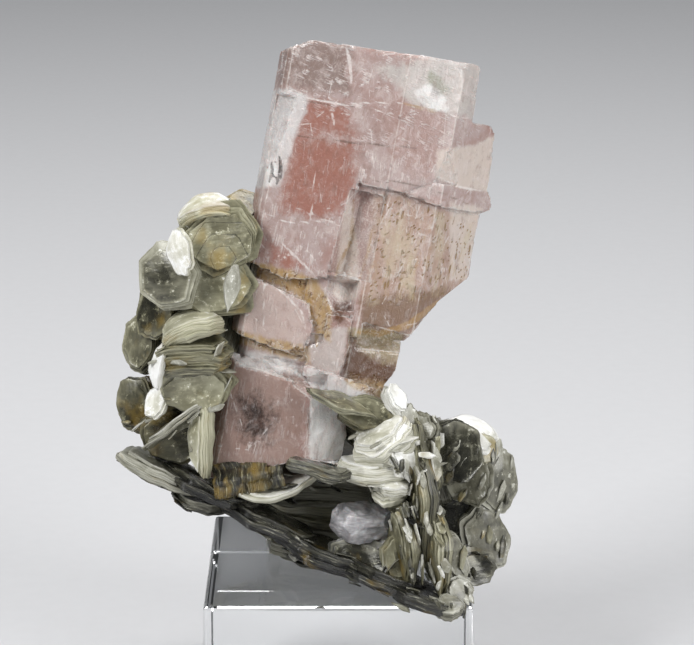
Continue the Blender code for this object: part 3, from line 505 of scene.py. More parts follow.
class Finish:
    """One material, and the nodes that paint it."""

    def __init__(self, name, **constants):
        self.material = bpy.data.materials.new(name)
        self.material.use_nodes = True
        self.tree = self.material.node_tree
        self.shader = self.tree.nodes["Principled BSDF"]
        for socket, value in constants.items():
            self.shader.inputs[socket.replace("_", " ")].default_value = value

    def node(self, kind, settings, values, output=0):
        made = self.tree.nodes.new(kind)
        for setting, choice in settings.items():
            if setting == "stops":
                self.set_stops(made.color_ramp, choice)
            else:
                setattr(made, setting, choice)
        for socket, value in values.items():
            if isinstance(value, Value):
                self.tree.links.new(value.socket, made.inputs[socket])
            else:
                made.inputs[socket].default_value = value
        return Value(self, made.outputs[output])

    def set_stops(self, ramp, stops):
        while len(ramp.elements) < len(stops):
            ramp.elements.new(0.5)
        for element, (position, colour) in zip(ramp.elements, stops):
            element.position = position
            element.color = (*colour, 1.0)

    def attribute(self, name, output="Fac"):
        return self.node("ShaderNodeAttribute", {"attribute_name": name}, {}, output)

    def place(self, scale=(1.0, 1.0, 1.0), turn=0.0):
        """The point on the piece in its own directions, in millimetres, turned and stretched."""
        point = self.attribute("place", "Vector")
        return self.node("ShaderNodeMapping", {"vector_type": "TEXTURE"},
                         {"Vector": point, "Rotation": (0.0, turn, 0.0),
                          "Scale": tuple(1 / part for part in scale)})

    def grain(self, scale, detail=3.0, distortion=0.0, roughness=0.55, turn=0.0):
        """Cloudy variation from 0 to 1, with this many grains to a millimetre each way."""
        return self.node("ShaderNodeTexNoise", {},
                         {"Vector": self.place(scale, turn), "Scale": 1.0, "Detail": detail,
                          "Roughness": roughness, "Distortion": distortion})

    def threads(self, scale, width, turn=0.0):
        """Fine lines along the direction of the smallest scale: 1 on a line and 0 off it."""
        level = self.grain(scale, detail=3.0, turn=turn) - 0.5
        return self.between(level.size(), width, 0.25 * width)

    def cells(self, scale, turn=0.0):
        """How far each point lies from the middle of its cell."""
        return self.node("ShaderNodeTexVoronoi", {},
                         {"Vector": self.place(scale, turn), "Scale": 1.0}, "Distance")

    def cracks(self, scale, width, bend=0.12):
        """Thin lines between cracked cells: 1 on a line and 0 off it."""
        start = self.place(scale)
        sway = self.node("ShaderNodeTexNoise", {}, {"Vector": start, "Scale": 1.3, "Detail": 4.0}, "Color")
        bent = self.node("ShaderNodeVectorMath", {"operation": "MULTIPLY_ADD"},
                         {0: sway, 1: (bend, bend, bend), 2: start})
        gap = self.node("ShaderNodeTexVoronoi", {"feature": "DISTANCE_TO_EDGE"},
                        {"Vector": bent, "Scale": 1.0})
        return self.between(gap, width, 0.2 * width)

    def between(self, value, low, high):
        """0 where the value is at the low end, 1 at the high end, smooth between them."""
        return self.node("ShaderNodeMapRange", {"interpolation_type": "SMOOTHSTEP"},
                         {"Value": value, "From Min": low, "From Max": high})

    def blend(self, share, below, above):
        colours = {0: share}
        for socket, colour in ((6, below), (7, above)):
            colours[socket] = colour if isinstance(colour, Value) else (*colour, 1.0)
        return self.node("ShaderNodeMix", {"data_type": "RGBA"}, colours, 2)

    def feed(self, socket, value):
        self.tree.links.new(value.socket, self.shader.inputs[socket])

    def relief(self, height, depth):
        """Raises and lowers the surface by the height, as much as the depth in millimetres."""
        bump = self.node("ShaderNodeBump", {}, {"Height": height, "Distance": depth * MM})
        self.feed("Normal", bump)


def crystal_frame():
    """Placement of the crystal: its across, depth and height directions and its foot."""
    height = Vector((LEAN_RIGHT, LEAN_BACK, 1.0)).normalized()
    away = Vector((0.0, 1.0, 0.0))
    depth = (away - height * away.dot(height)).normalized()
    across = depth.cross(height)
    placement = Matrix((across, depth, height)).transposed().to_4x4()
    placement.translation = PRISM_FOOT
    return placement


def add_piece(name, mesh, finish, node):
    """Adds a mesh in metres to the part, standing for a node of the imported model."""
    piece = bpy.data.objects.new(name, mesh)
    bpy.context.scene.collection.objects.link(piece)
    mesh.materials.clear()
    mesh.materials.append(finish.material)
    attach(piece, "root")
    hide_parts(node)


def paint(mesh, name, values):
    """Stores a number, or a triple, for each vertex under a name that the finishes read."""
    values = np.asarray(values, np.float32)
    kind = "FLOAT" if values.ndim == 1 else "FLOAT_VECTOR"
    layer = mesh.attributes.new(name, kind, "POINT")
    layer.data.foreach_set("value" if kind == "FLOAT" else "vector", values.ravel())


# Crystal

def main_axis(direction):
    """The axis, 0 to 2, that a direction follows most closely."""
    return max(range(3), key=lambda axis: abs(direction[axis]))


def score(bm, spacing):
    """Scores every face along the two directions that it spreads in."""
    for facing in range(3):
        faces = [face for face in bm.faces if main_axis(face.normal) == facing]
        geometry = faces + list({edge for face in faces for edge in face.edges})
        geometry += list({vert for face in faces for vert in face.verts})
        for axis in range(3):
            if axis == facing or not faces:
                continue
            places = [vert.co[axis] for face in faces for vert in face.verts]
            direction = Vector([float(axis == k) for k in range(3)])
            for cut in np.arange(min(places) + spacing, max(places), spacing):
                result = bmesh.ops.bisect_plane(bm, geom=geometry, dist=1e-4,
                                                plane_co=direction * cut, plane_no=direction)
                geometry = result["geom"]


def sharp_places(bm):
    """Points along the crystal's sharp edges."""
    places = []
    for edge in bm.edges:
        if edge.is_manifold and edge.is_convex and edge.calc_face_angle() > CRYSTAL_WORN:
            one, two = (vert.co for vert in edge.verts)
            places += [one.lerp(two, share) for share in (0.25, 0.75)]
    tree = KDTree(len(places))
    for number, place in enumerate(places):
        tree.insert(place, number)
    tree.balance()
    return tree


def is_grown(normal):
    """True for a face that grew smooth, and False for a broken one."""
    if abs(normal.z) > 0.02:
        return False
    turn = math.degrees(math.atan2(normal.x, -normal.y))
    return min(abs((turn - face + 180) % 360 - 180) for face in PRISM_TURNS) < 1.5


def worn(point, kind, edge):
    """How far the surface lies behind its flat face, this far from the nearest sharp edge."""
    broad = noise.noise(point * 0.28)
    fine = noise.fractal(point * 0.9, 0.9, 2.1, 4)
    ripples = math.sin(point.length * 2.2 + 4.0 * broad)
    depth = kind.even + kind.fine * fine + kind.broad * broad + kind.ripple * ripples
    nick = noise.noise(point * 0.55 + Vector((7, 3, 1))) - 0.05
    small = noise.noise(point * 1.9)
    chip = max(0.0, 1.3 * nick + 0.5 * small) - 1.1 * edge
    return max(depth, 0.0) + max(0.0, kind.chip * chip) + max(0.0, EDGE_WEAR - 0.4 * edge)


def wear_down(bm):
    """Wears the scored crystal. Returns where each point was, if it is broken and how far
    it lies from a sharp edge."""
    tree = sharp_places(bm)
    moves = []
    broken = []
    edges = []
    for vert in bm.verts:
        grown = all(is_grown(face.normal) for face in vert.link_faces)
        edge = tree.find(vert.co)[2]
        moves.append(vert.normal * -worn(vert.co, GROWN_WEAR if grown else BROKEN_WEAR, edge))
        broken.append(0.0 if grown else 1.0)
        edges.append(edge)
    places = np.array([vert.co for vert in bm.verts])
    for vert, move in zip(bm.verts, moves):
        vert.co += move
    return places, broken, edges


def distance_inside(points, outline):
    """How far each point lies inside an outline; below 0 outside it."""
    corners = np.array(outline, float)
    nearest = np.full(len(points), 1e9)
    inside = np.zeros(len(points), bool)
    for start, end in zip(corners, np.roll(corners, -1, axis=0)):
        side = end - start
        offset = points - start
        share = np.clip(offset @ side / (side @ side), 0, 1)
        nearest = np.minimum(nearest, np.hypot(*(offset - share[:, None] * side).T))
        crosses = (start[1] > points[:, 1]) != (end[1] > points[:, 1])
        rise = end[1] - start[1] or 1e-9
        at = start[0] + (points[:, 1] - start[1]) * side[0] / rise
        inside ^= crosses & (points[:, 0] < at)
    return np.where(inside, nearest, -nearest)


def distance_along(points, vein):
    """How far each point lies inside a vein that tapers towards its ends; below 0 outside it."""
    line = np.array(vein.points, float)
    lengths = np.hypot(*(line[1:] - line[:-1]).T)
    before = 0.0
    best = np.full(len(points), -1e9)
    for start, end, length in zip(line, line[1:], lengths):
        side = end - start
        offset = points - start
        share = np.clip(offset @ side / (side @ side), 0, 1)
        away = np.hypot(*(offset - share[:, None] * side).T)
        along = (before + share * length) / lengths.sum()
        taper = 0.25 + 0.75 * np.sqrt(np.sin(math.pi * np.clip(along, 0.01, 0.99)))
        best = np.maximum(best, vein.width * taper - away)
        before += length
    return best


def depth_inside(places, depths):
    """How far each point lies inside a range of depths; below 0 outside it."""
    near, far = depths
    return np.minimum(places[:, 1] - near, far - places[:, 1])


def mark_zones(mesh, places):
    """Stores how far inside each look's zones and veins every point lies."""
    flat = places[:, [0, 2]]
    areas = [(zone, distance_inside(flat, zone.outline)) for zone in ZONES]
    areas += [(vein, distance_along(flat, vein)) for vein in VEINS]
    marks = {}
    for area, inside in areas:
        inside = np.minimum(inside, depth_inside(places, area.depths))
        marks[area.look] = np.maximum(marks.get(area.look, -9.0), inside)
    for look, inside in marks.items():
        paint(mesh, look, inside)


def make_crystal():
    placement = crystal_frame()
    bm = bmesh.new()
    bm.from_mesh(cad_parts["fluorapatite"].data)
    bm.transform(placement.inverted() @ Matrix.Scale(1 / MM, 4))
    bmesh.ops.remove_doubles(bm, verts=bm.verts, dist=0.004)
    bmesh.ops.dissolve_limit(bm, angle_limit=math.radians(0.6), verts=bm.verts, edges=bm.edges)
    score(bm, CELL)
    bm.normal_update()
    places, broken, edges = wear_down(bm)
    bm.transform(Matrix.Scale(MM, 4) @ placement)
    mesh = bpy.data.meshes.new("fluorapatite_crystal")
    bm.to_mesh(mesh)
    bm.free()
    mesh.shade_smooth()
    mesh.set_sharp_from_angle(angle=CRYSTAL_SHARP)
    paint(mesh, "place", places)
    paint(mesh, "broken", broken)
    paint(mesh, "to_edge", edges)
    mark_zones(mesh, places)
    add_piece("fluorapatite_crystal", mesh, apatite_finish(), "fluorapatite")


def tone(red, green, blue):
    """A colour from its brightness on a screen, 0 to 255 for each part."""
    return tuple((part / 255) ** 2.2 for part in (red, green, blue))


# Each look's colour, how softly it begins in millimetres, and how strongly it covers
APATITE_LOOKS = [
    ("salmon", tone(161, 108, 93), 2.2, 0.92),
    ("smoky", tone(140, 120, 112), 2.4, 0.88),
    ("mauve", tone(154, 128, 117), 2.0, 0.85),
    ("lilac", tone(190, 178, 172), 0.8, 0.9),
    ("blush", tone(202, 182, 174), 0.8, 0.85),
    ("pitted", tone(178, 149, 132), 1.4, 0.85),
    ("dusk", tone(124, 94, 68), 1.6, 0.9),
    ("core", tone(50, 34, 26), 3.6, 1.0),
    ("cloud", tone(204, 199, 193), 1.6, 0.8),
    ("pale", tone(214, 200, 189), 0.7, 0.9),
    ("amber", tone(158, 143, 111), 0.5, 0.9),
    ("frost", tone(222, 218, 216), 0.8, 0.9),
    ("white", tone(238, 236, 233), 0.6, 0.95),
    ("moss", tone(146, 148, 126), 1.0, 0.75),
    ("gold", tone(182, 152, 102), 0.8, 0.85),
    ("brown", tone(92, 54, 20), 1.4, 0.95),
    ("golden", tone(170, 134, 78), 0.30, 0.7),
    # dark: real dark marks such as an etch pit, and also painted shadow lines
    ("dark", tone(84, 70, 58), 0.20, 0.6),
    ("bright", tone(242, 236, 232), 0.16, 0.7),
    ("chip", tone(38, 34, 33), 0.12, 0.9),
]

# Looks that are frosted, and looks that veils and fine lines show less on
FROSTED_LOOKS = ("frost", "white", "cloud")
CLEAR_LOOKS = ("salmon", "mauve", "blush", "brown", "dusk")


def zone_colours(finish, fray):
    """The crystal's colour by zones, how frosted it is and how much veils show on it."""
    drift = finish.grain((0.16, 0.16, 0.10), detail=4.0, distortion=0.6)
    colour = finish.blend(finish.between(drift, 0.35, 0.65), tone(168, 137, 129), tone(184, 164, 159))
    frosted = 0.0
    veiled = 1.0
    for look, paint_colour, soft, cover in APATITE_LOOKS:
        inside = finish.attribute(look) + fray * (2.0 * soft)
        share = finish.between(inside, -0.5 * soft, 0.5 * soft) * cover
        colour = finish.blend(share, colour, paint_colour)
        if look in FROSTED_LOOKS:
            frosted = share + frosted
        if look in CLEAR_LOOKS:
            veiled = veiled - share * 0.7
    return colour, frosted, veiled


def with_veils(finish, colour, frosted, veiled):
    """Pearly clouds in the frosted zones, and a thin white veil over the others."""
    pearl = finish.between(finish.grain((0.45, 0.45, 0.16), detail=5.0, distortion=0.5), 0.42, 0.64)
    colour = finish.blend(pearl * frosted * 0.45, colour, tone(168, 160, 158))
    veil = finish.between(finish.grain((0.5, 0.5, 0.35), detail=6.0, distortion=0.8, roughness=0.75),
                          0.46, 0.66)
    return finish.blend(veil * veiled * 0.45, colour, tone(222, 209, 204))


def with_lines(finish, colour, veiled, patchy):
    """Fine white lines, upright below and level near the top, with ticks and splits."""
    place = finish.attribute("place", "Vector")
    height = finish.node("ShaderNodeSeparateXYZ", {}, {"Vector": place}, "Z")
    top = finish.between(height, 43.0, 50.0)
    upright = finish.threads((1.5, 1.5, 0.14), 0.05) * (1 - top)
    level = finish.threads((0.18, 0.18, 1.3), 0.05, turn=0.22) * (top * 0.8 + 0.2)
    wisps = upright.greatest(level) * patchy
    colour = finish.blend(wisps * veiled * 0.5, colour, tone(236, 226, 222))
    patches = finish.between(finish.grain((0.30, 0.30, 0.22), detail=4.0, distortion=0.8), 0.42, 0.60)
    ticks = finish.between(finish.grain((6.0, 6.0, 1.2), detail=3.0, turn=0.5), 0.62, 0.72)
    flat_ticks = finish.between(finish.grain((1.4, 1.4, 6.0), detail=3.0, turn=0.2), 0.62, 0.72)
    colour = finish.blend(ticks.greatest(flat_ticks) * patches * veiled * 0.24, colour,
                          tone(242, 236, 232))
    splits = finish.cracks((0.12, 0.12, 0.08), 0.012) * patchy
    return finish.blend(splits * 0.5, colour, tone(240, 232, 228)), wisps


def with_crust(finish, colour, frosted, broken, sugar, fray):
    """Shaded hollows, the sugary crust of broken faces, and pale edges that are partly frosty wear and
    partly a painted highlight.
    """
    shade = finish.between(finish.grain((0.8, 0.8, 0.5), detail=5.0, roughness=0.7), 0.50, 0.30)
    colour = finish.blend(shade * 0.35, colour, tone(128, 96, 84))
    crust = finish.between(sugar, 0.50, 0.66) * (broken * 0.35 + frosted * 0.15)
    colour = finish.blend(crust, colour, tone(238, 233, 228))
    # Paler near sharp edges: partly worn frost, partly a painted highlight along the edges
    rim = finish.between(finish.attribute("to_edge") + fray * 0.5, 0.26, 0.04)
    return finish.blend(rim * 0.6, colour, tone(236, 228, 222))


def with_stains(finish, colour, patchy, fray):
    """Brown strokes in the golden cracks."""
    stained = finish.between(finish.attribute("gold") + fray, -0.2, 0.4)
    strokes = finish.threads((1.2, 1.2, 0.5), 0.09, turn=0.9) * patchy * stained
    return finish.blend(strokes * 0.8, colour, tone(112, 80, 36)), strokes


def with_pits(finish, colour, fray):
    """Golden pits in two directions, and the cream and ochre seeped between them."""
    in_zone = finish.between(finish.attribute("pitted") + fray, 0.0, 0.8)
    crowd = finish.grain((0.45, 0.45, 0.35), detail=5.0)
    nibbled = fray * 0.25
    upright = finish.between(finish.cells((1.5, 1.5, 0.42)) + nibbled, 0.30, 0.18)
    slanted = finish.between(finish.cells((2.0, 2.0, 0.9), turn=0.8) + nibbled, 0.28, 0.18)
    pits = (upright * finish.between(crowd, 0.44, 0.52)).greatest(
        slanted * finish.between(crowd, 0.56, 0.48)) * in_zone
    seeped = finish.between(finish.grain((1.1, 1.1, 0.28), detail=4.0, roughness=0.7), 0.52, 0.66)
    colour = finish.blend(seeped * in_zone * 0.35, colour, tone(178, 150, 104))
    colour = finish.blend(pits * 0.85, colour, tone(144, 112, 56))
    creamy = finish.between(finish.grain((0.35, 0.35, 0.12), detail=5.0), 0.50, 0.66) * in_zone
    return finish.blend(creamy * 0.5, colour, tone(206, 192, 164)), pits


def apatite_finish():
    finish = Finish("fluorapatite", IOR=1.63, Subsurface_Weight=0.35, Subsurface_Scale=0.002,
                    Transmission_Weight=0.15, Coat_Weight=0.25, Coat_Roughness=0.12)
    finish.shader.inputs["Subsurface Radius"].default_value = (1.0, 0.65, 0.55)
    fray = finish.grain((0.9, 0.9, 0.7), detail=5.0, roughness=0.75) - 0.5
    patchy = finish.between(finish.grain((0.7, 0.7, 0.6), detail=4.0), 0.48, 0.60)
    sugar = finish.grain((3.6, 3.6, 3.6), detail=4.0)
    broken = finish.attribute("broken")
    colour, frosted, veiled = zone_colours(finish, fray)
    colour = with_veils(finish, colour, frosted, veiled)
    colour, wisps = with_lines(finish, colour, veiled, patchy)
    colour = with_crust(finish, colour, frosted, broken, sugar, fray)
    colour, strokes = with_stains(finish, colour, patchy, fray)
    colour, pits = with_pits(finish, colour, fray)
    finish.feed("Base Color", colour)
    gloss = finish.grain((1.4, 1.4, 1.4), detail=4.0) * 0.2 + 0.12
    finish.feed("Roughness", gloss + broken * 0.14)
    lines = finish.grain((2.6, 2.6, 0.2), detail=3.0)
    finish.relief(sugar * (broken * 0.5 + frosted * 0.1 + 0.05) + lines * 0.10 + fray * 0.35
                  - pits * 0.6 - strokes * 0.4 + wisps * 0.2, 0.30)
    return finish


# Mica

def book_outline(seed, sides, reaches):
    """Corners of a rough mica outline, as shares of the book's reach."""
    dice = random.Random(seed)
    corners = []
    for k in range(sides):
        angle = math.tau * (k + dice.uniform(-CORNER_SWING, CORNER_SWING)) / sides
        size = dice.uniform(*reaches)
        corners.append((angle, size))
    return corners


def rim_shares(seed, angles, sides=BOOK_SIDES, reaches=CORNER_REACH, rounding=ROUNDING):
    """How far the outline reaches at the angles, between its straight sides and a round."""
    turns, sizes = np.array(book_outline(seed, sides, reaches)).T
    turns = np.concatenate([turns - math.tau, turns, turns + math.tau])
    sizes = np.tile(sizes, 3)
    after = np.searchsorted(turns, angles, side="right")
    width = turns[after] - turns[after - 1]
    share = (angles - turns[after - 1]) / width
    one, two = sizes[after - 1], sizes[after]
    straight = one * two * np.sin(width)
    straight /= one * np.sin(share * width) + two * np.sin((1 - share) * width)
    ease = share * share * (3 - 2 * share)
    round_one = one + (two - one) * ease
    return straight + rounding * (round_one - straight)


def hexagon(angles):
    """Reach of a six-sided outline at the angles, 1 at its corners."""
    sixth = math.tau / 6
    return math.cos(sixth / 2) / np.cos(angles % sixth - sixth / 2)


def curled(along, across, up, curl):
    """Bends points of a flat plate, first along its length and then across its width."""
    length_radius, width_radius = curl
    if length_radius:
        angle = along / length_radius
        along = (length_radius + up) * np.sin(angle)
        up = (length_radius + up) * np.cos(angle) - length_radius
    if width_radius:
        angle = across / width_radius
        across = (width_radius + up) * np.sin(angle)
        up = (width_radius + up) * np.cos(angle) - width_radius
    return along, across, up


def book_placement(book):
    normal = Vector(book.normal).normalized()
    along = Vector(book.along)
    along = (along - normal * along.dot(normal)).normalized()
    across = normal.cross(along)
    return np.array((along, across, normal))


def back_books():
    """Books around the hidden side of the crystal's foot, alternately low and high."""
    dice = random.Random(31)
    books = []
    for k in range(BACK_COUNT):
        angle = BACK_START + BACK_SWEEP * k / (BACK_COUNT - 1)
        out = Vector((math.cos(angle), math.sin(angle), 0.0))
        left = max(0.0, -out.x)
        centre = BACK_CENTRE + Vector((out.x * BACK_RADIUS.x, out.y * BACK_RADIUS.y, 0.0))
        centre.z = BACK_HEIGHT + BACK_STEP * (k % 2) + BACK_RISE * left + dice.uniform(-1.0, 1.0)
        normal = out + Vector((0, 0, dice.uniform(*BACK_TILT)))
        reach = (dice.uniform(*BACK_LENGTH), dice.uniform(*BACK_WIDTH))
        books.append(Book("back %d" % k, tuple(centre), tuple(normal), (-out.y, out.x, 0.0), reach,
                          dice.uniform(*BACK_THICK), BACK_LOOKS[k % len(BACK_LOOKS)]))
    return books


def within_box(point, low, high):
    return all(one < part / MM < two for one, part, two in zip(low, point, high))


def splinters():
    """Broken slivers of sheets scattered over the outside of the books."""
    dice = random.Random(77)
    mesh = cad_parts["muscovite_books"].data
    books = []
    for group in SPLINTERS:
        faces = [face for face in mesh.polygons
                 if within_box(face.center, group.low, group.high)
                 and (face.normal.y < SPLINTER_AWAY or group.low[1] > SPLINTER_BACK)]
        for face in dice.choices(faces, weights=[face.area for face in faces], k=group.count):
            one, two, three = (mesh.vertices[corner].co for corner in face.vertices[:3])
            share = sorted((dice.random(), dice.random()))
            place = (one * share[0] + two * (share[1] - share[0]) + three * (1 - share[1])) / MM
            skew = [Vector([dice.uniform(-SPLINTER_SKEW, SPLINTER_SKEW) for _ in range(3)])
                    for _ in range(2)]
            reach = dice.uniform(*SPLINTER_REACH)
            books.append(Book("splinter", tuple(place - SPLINTER_SINK * face.normal),
                              tuple(face.normal + skew[0]), tuple(Vector(group.along) + skew[1]),
                              (reach, reach * dice.uniform(*SPLINTER_SHAPE)),
                              dice.uniform(*SPLINTER_THICK), dice.choice(group.looks)))
    return books


class Stack:
    """One book's sheets: rings of points from its foot to its face, and their paint."""

    def __init__(self, book, number):
        self.book = book
        self.look = LOOKS[book.look]
        self.number = number
        self.dice = random.Random(1000 + number)
        self.size = sum(book.reach) / 2
        self.is_sliver = book.thick <= SPLINTER_THICK[1]
        fewest, most = RIM_POINTS
        count = max(fewest, min(most, int(math.tau * self.size / RIM_STEP)))
        self.angles = np.linspace(0, math.tau, count, endpoint=False)
        self.rings = []
        self.build()

    def ripple(self, waves):
        """A jagged number around the rim: its waves are pairs of a count and a height."""
        total = np.zeros(len(self.angles))
        for count, height in waves:
            phase = self.dice.uniform(0, math.tau)
            total += height * 2 / math.pi * np.arcsin(np.sin(count * self.angles + phase))
        return total

    def add_ring(self, reach, up, tones, edge):
        """A ring at these reaches, as shares of the book's, and heights."""
        count = len(self.angles)
        row = [np.broadcast_to(value, count) for value in (reach, up, tones, edge)]
        self.rings.append(np.array(row))

    def outlines(self):
        """The reach around the rim of each outline that the sheets follow."""
        if self.is_sliver:
            return [rim_shares(self.number, self.angles, SPLINTER_SIDES, SPLINTER_CORNERS, 0.0)]
        return [rim_shares(100 * self.number + layer, self.angles) for layer in range(self.book.layers)]

    def growth_step(self, reach, number):
        """The reach of a growth step, nearer to a hexagon than the sheets below it."""
        inner = 1.0 - GROWTH_STEP * number * self.dice.uniform(0.6, 1.2)
        reach = reach * (inner + (1 - inner) * 0.5 * hexagon(self.angles + 0.2 * self.number))
        return reach - 0.8 * (1 - inner) * np.sin(self.angles)

    def rims(self):
        """The outline of every packet of sheets, with its foot and its top."""
        book, look, dice = self.book, self.look, self.dice
        count = max(2, round(book.thick / SHEET))
        pitch = book.thick / count
        shapes = self.outlines()
        jag = self.ripple(FIRST_JAG)
        slipped = np.zeros(len(self.angles))
        rims = []
        for k in range(count):
            layer = min(book.layers - 1, int(k * book.layers / count))
            if dice.random() < SLIP_CHANCE:
                heading = dice.uniform(0, math.tau)
                slip = look.slip * dice.uniform(0.5, 1.0)
                slipped = slip * (np.cos(self.angles - heading) - 0.7)
                jag = self.ripple(NEXT_JAG)
            reach = shapes[layer] * (1.0 - LAYER_SHRINK * layer + slipped)
            reach = reach + look.ragged * (self.ripple(ROUGH_RIM) + jag) / self.size
            steps_left = count - 1 - k
            if steps_left < look.steps:
                reach = self.growth_step(reach, look.steps - steps_left)
            if k < len(FOOT_REACH):
                reach = reach * FOOT_REACH[k]
            rise = (k + 0.5) / count
            reach = reach * (1 - look.round * (rise ** 4 + 0.6 * (1 - rise) ** 4))
            low = -book.thick / 2 + k * pitch
            rims.append((reach, low, low + PACKET_FILL * pitch))
        return rims, pitch

    def build(self):
        """Adds the rings of the foot, of every packet's edge and of the face."""
        rims, pitch = self.rims()
        insets = [inset for inset in RIM_INSETS if inset < 0.3 * self.size]
        shares = [0.2, 0.42, 0.62] + [1 - inset / self.size for inset in insets]
        if self.is_sliver:
            shares = [0.6]
        first, low, _ = rims[0]
        for share in shares:
            self.add_ring(first * share, low, self.look.face, 0.0)
        for k in range(len(rims)):
            self.add_packet(rims, k, pitch)
        self.add_face(rims[-1], shares)

    def add_packet(self, rims, k, pitch):
        """The edge of one packet of sheets, and the groove between it and the next, painted darker as
        shade in the gap.
        """
        look = self.look
        reach, low, high = rims[k]
        rise = 2 * k / len(rims) - 1
        pale = look.edge + (0.08 + 0.5 * (look.rim - look.edge)) * rise
        pale += look.contrast * self.dice.uniform(-0.16, 0.16)
        patchy = self.ripple(PATCHY_RIM) * look.contrast
        lift = self.ripple(LIFTED_RIM) * pitch
        self.add_ring(reach, low + lift, pale + patchy, 1.0)
        self.add_ring(reach, high + lift, pale + patchy + 0.04, 1.0)
        if k + 1 < len(rims):
            gap = self.ripple(GAPING_RIM)
            deep = (0.015 + 0.22 * look.contrast * np.clip(gap, 0, 1)) / self.size
            inner = np.minimum(reach, rims[k + 1][0]) - deep
            # The groove ring is painted darker where the gap opens: painted shade between the packets
            dark = np.clip(gap * 2, 0, 1) * look.contrast
            self.add_ring(inner, high + lift, pale - 0.1 - 0.3 * dark, 1.0)

    def add_face(self, rim, shares):
        look = self.look
        last, _, high = rim
        for share in reversed(shares):
            near_rim = np.clip(1.6 - 2 * (1 - share) * self.size, 0, 1)
            middle = np.clip(share / 0.62, 0, 1)
            inner = look.heart + (look.face - look.heart) * middle
            self.add_ring(last * share, high, inner + (look.rim - inner) * near_rim, 0.0)

    def sway(self, along, across, shift):
        """How far the sheets rise and dip, in millimetres."""
        sway = (0.12 * np.sin(0.55 * along + 0.3 * across + shift)
                + 0.08 * np.sin(0.9 * across - 0.4 * along + 2.1 * shift)
                + 0.04 * np.sin(1.7 * along + 1.2 * across + 0.7 * shift))
        return sway * (0.7 + 3.0 * self.look.ragged)

    def growth(self, along, across):
        """On a growth plate, how far each point lies out in six-sided growth lines."""
        if self.book.look != "growth":
            return np.zeros(len(along))
        turns = (0.3, 0.3 + math.tau / 6, 0.3 + math.tau / 3)
        sixths = [np.cos(turn) * along + np.sin(turn) * (across + GROWTH_CENTRE) for turn in turns]
        return np.max(np.abs(sixths), axis=0)

    def points(self):
        """The book's points and its paint: place on the sheet, tone, edge, gold and growth."""
        book, look = self.book, self.look
        rings = np.array(self.rings)
        centres = np.array([[0.0, row[1, 0], row[2, 0], 0.0] for row in (rings[0], rings[-1])])
        columns = rings.transpose(0, 2, 1).reshape(-1, 4)
        columns = np.concatenate([columns, centres])
        angles = np.concatenate([np.tile(self.angles, len(rings)), [0.0, 0.0]])
        reach, up, tones, edge = columns.T
        along = reach * np.cos(angles) * book.reach[0]
        across = reach * np.sin(angles) * book.reach[1]
        far = np.clip(along / book.reach[0], 0, 1) + 0.5 * np.clip(-along / book.reach[0], 0, 1)
        narrow = 1.0 - look.pinch * far
        across = across * narrow
        shift = 17.0 * self.number
        splay = (1.0 + 0.10 * reach ** 4) * narrow
        local = np.array((along, across, up)).T
        bent = np.array(curled(along, across, up * splay + self.sway(along, across, shift), book.curl)).T
        world = bent @ book_placement(book) + np.array(book.centre)
        offset = np.array((shift, 0.6 * shift, 0.37 * shift))
        sheen = np.cos(2.4 * self.number) * along + np.sin(2.4 * self.number) * across
        tones = tones + (1 - edge) * 0.13 * sheen / self.size
        gold = np.full(len(world), look.gold)
        return world, local + offset, tones, edge, gold, self.growth(along, across)

    def faces(self):
        """Four-sided faces between the rings, and fans at the foot and the face."""
        count = len(self.angles)
        rings = len(self.rings)
        index = np.arange(rings * count).reshape(rings, count)
        after = np.roll(index, -1, axis=1)
        sides = np.stack([index[:-1], after[:-1], after[1:], index[1:]], axis=-1).reshape(-1, 4)
        foot, top = rings * count, rings * count + 1
        fans = [(foot, b, a) for a, b in zip(index[0], after[0])]
        fans += [(top, a, b) for a, b in zip(index[-1], after[-1])]
        return sides.tolist() + fans


def is_inside(tree, point, margin):
    """True if the point lies deeper than the margin in the solid that the tree holds."""
    point = Vector(point)
    place, normal, _, distance = tree.find_nearest(point)
    if distance < margin or (point - place).dot(normal) > 0:
        return False
    crossings = 0
    while place is not None:
        place = tree.ray_cast(point, RAY)[0]
        if place is not None:
            point = place + RAY * 0.001
            crossings += 1
    return crossings % 2 == 1


def solid_tree(node):
    bm = bmesh.new()
    bm.from_mesh(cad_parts[node].data)
    bm.transform(Matrix.Scale(1 / MM, 4))
    tree = BVHTree.FromBMesh(bm)
    bm.free()
    return tree


def settle(points):
    """Rests what would be in the clear block on its top."""
    half = BLOCK_WIDTH / 2 + BLOCK_MARGIN
    over = (np.abs(points[:, 0]) < half) & (np.abs(points[:, 1]) < half)
    points[over, 2] = np.maximum(points[over, 2], BLOCK_HEIGHT + RESTING_GAP)
    return points


def make_books(name, books, first, finish, trees):
    """One piece of the mica: a group of books."""
    columns = [[] for _ in range(6)]
    faces = []
    start = 0
    for number, book in enumerate(books, first):
        stack = Stack(book, number)
        rows = stack.points()
        for column, row in zip(columns, rows):
            column.append(row)
        faces += [tuple(corner + start for corner in face) for face in stack.faces()]
        start += len(rows[0])
    points, places, tones, edges, gold, growth = (np.concatenate(column) for column in columns)
    hidden = [any(is_inside(tree, point, BURIED) for tree in trees) for point in points]
    shown = [face for face in faces if not all(hidden[corner] for corner in face)]
    points = settle(points)
    mesh = bpy.data.meshes.new(name)
    mesh.from_pydata((points * MM).tolist(), [], shown)
    paints = {"place": places, "tone": tones, "edge": edges, "gold": gold, "growth": growth}
    for label, values in paints.items():
        paint(mesh, label, values)
    drop_loose(mesh)
    mesh.shade_smooth()
    mesh.set_sharp_from_angle(angle=MICA_SHARP)
    add_piece(name, mesh, finish, "muscovite_books")


def drop_loose(mesh):
    """Takes out the points that no face uses."""
    bm = bmesh.new()
    bm.from_mesh(mesh)
    loose = [vert for vert in bm.verts if not vert.link_faces]
    bmesh.ops.delete(bm, geom=loose, context="VERTS")
    bm.to_mesh(mesh)
    bm.free()


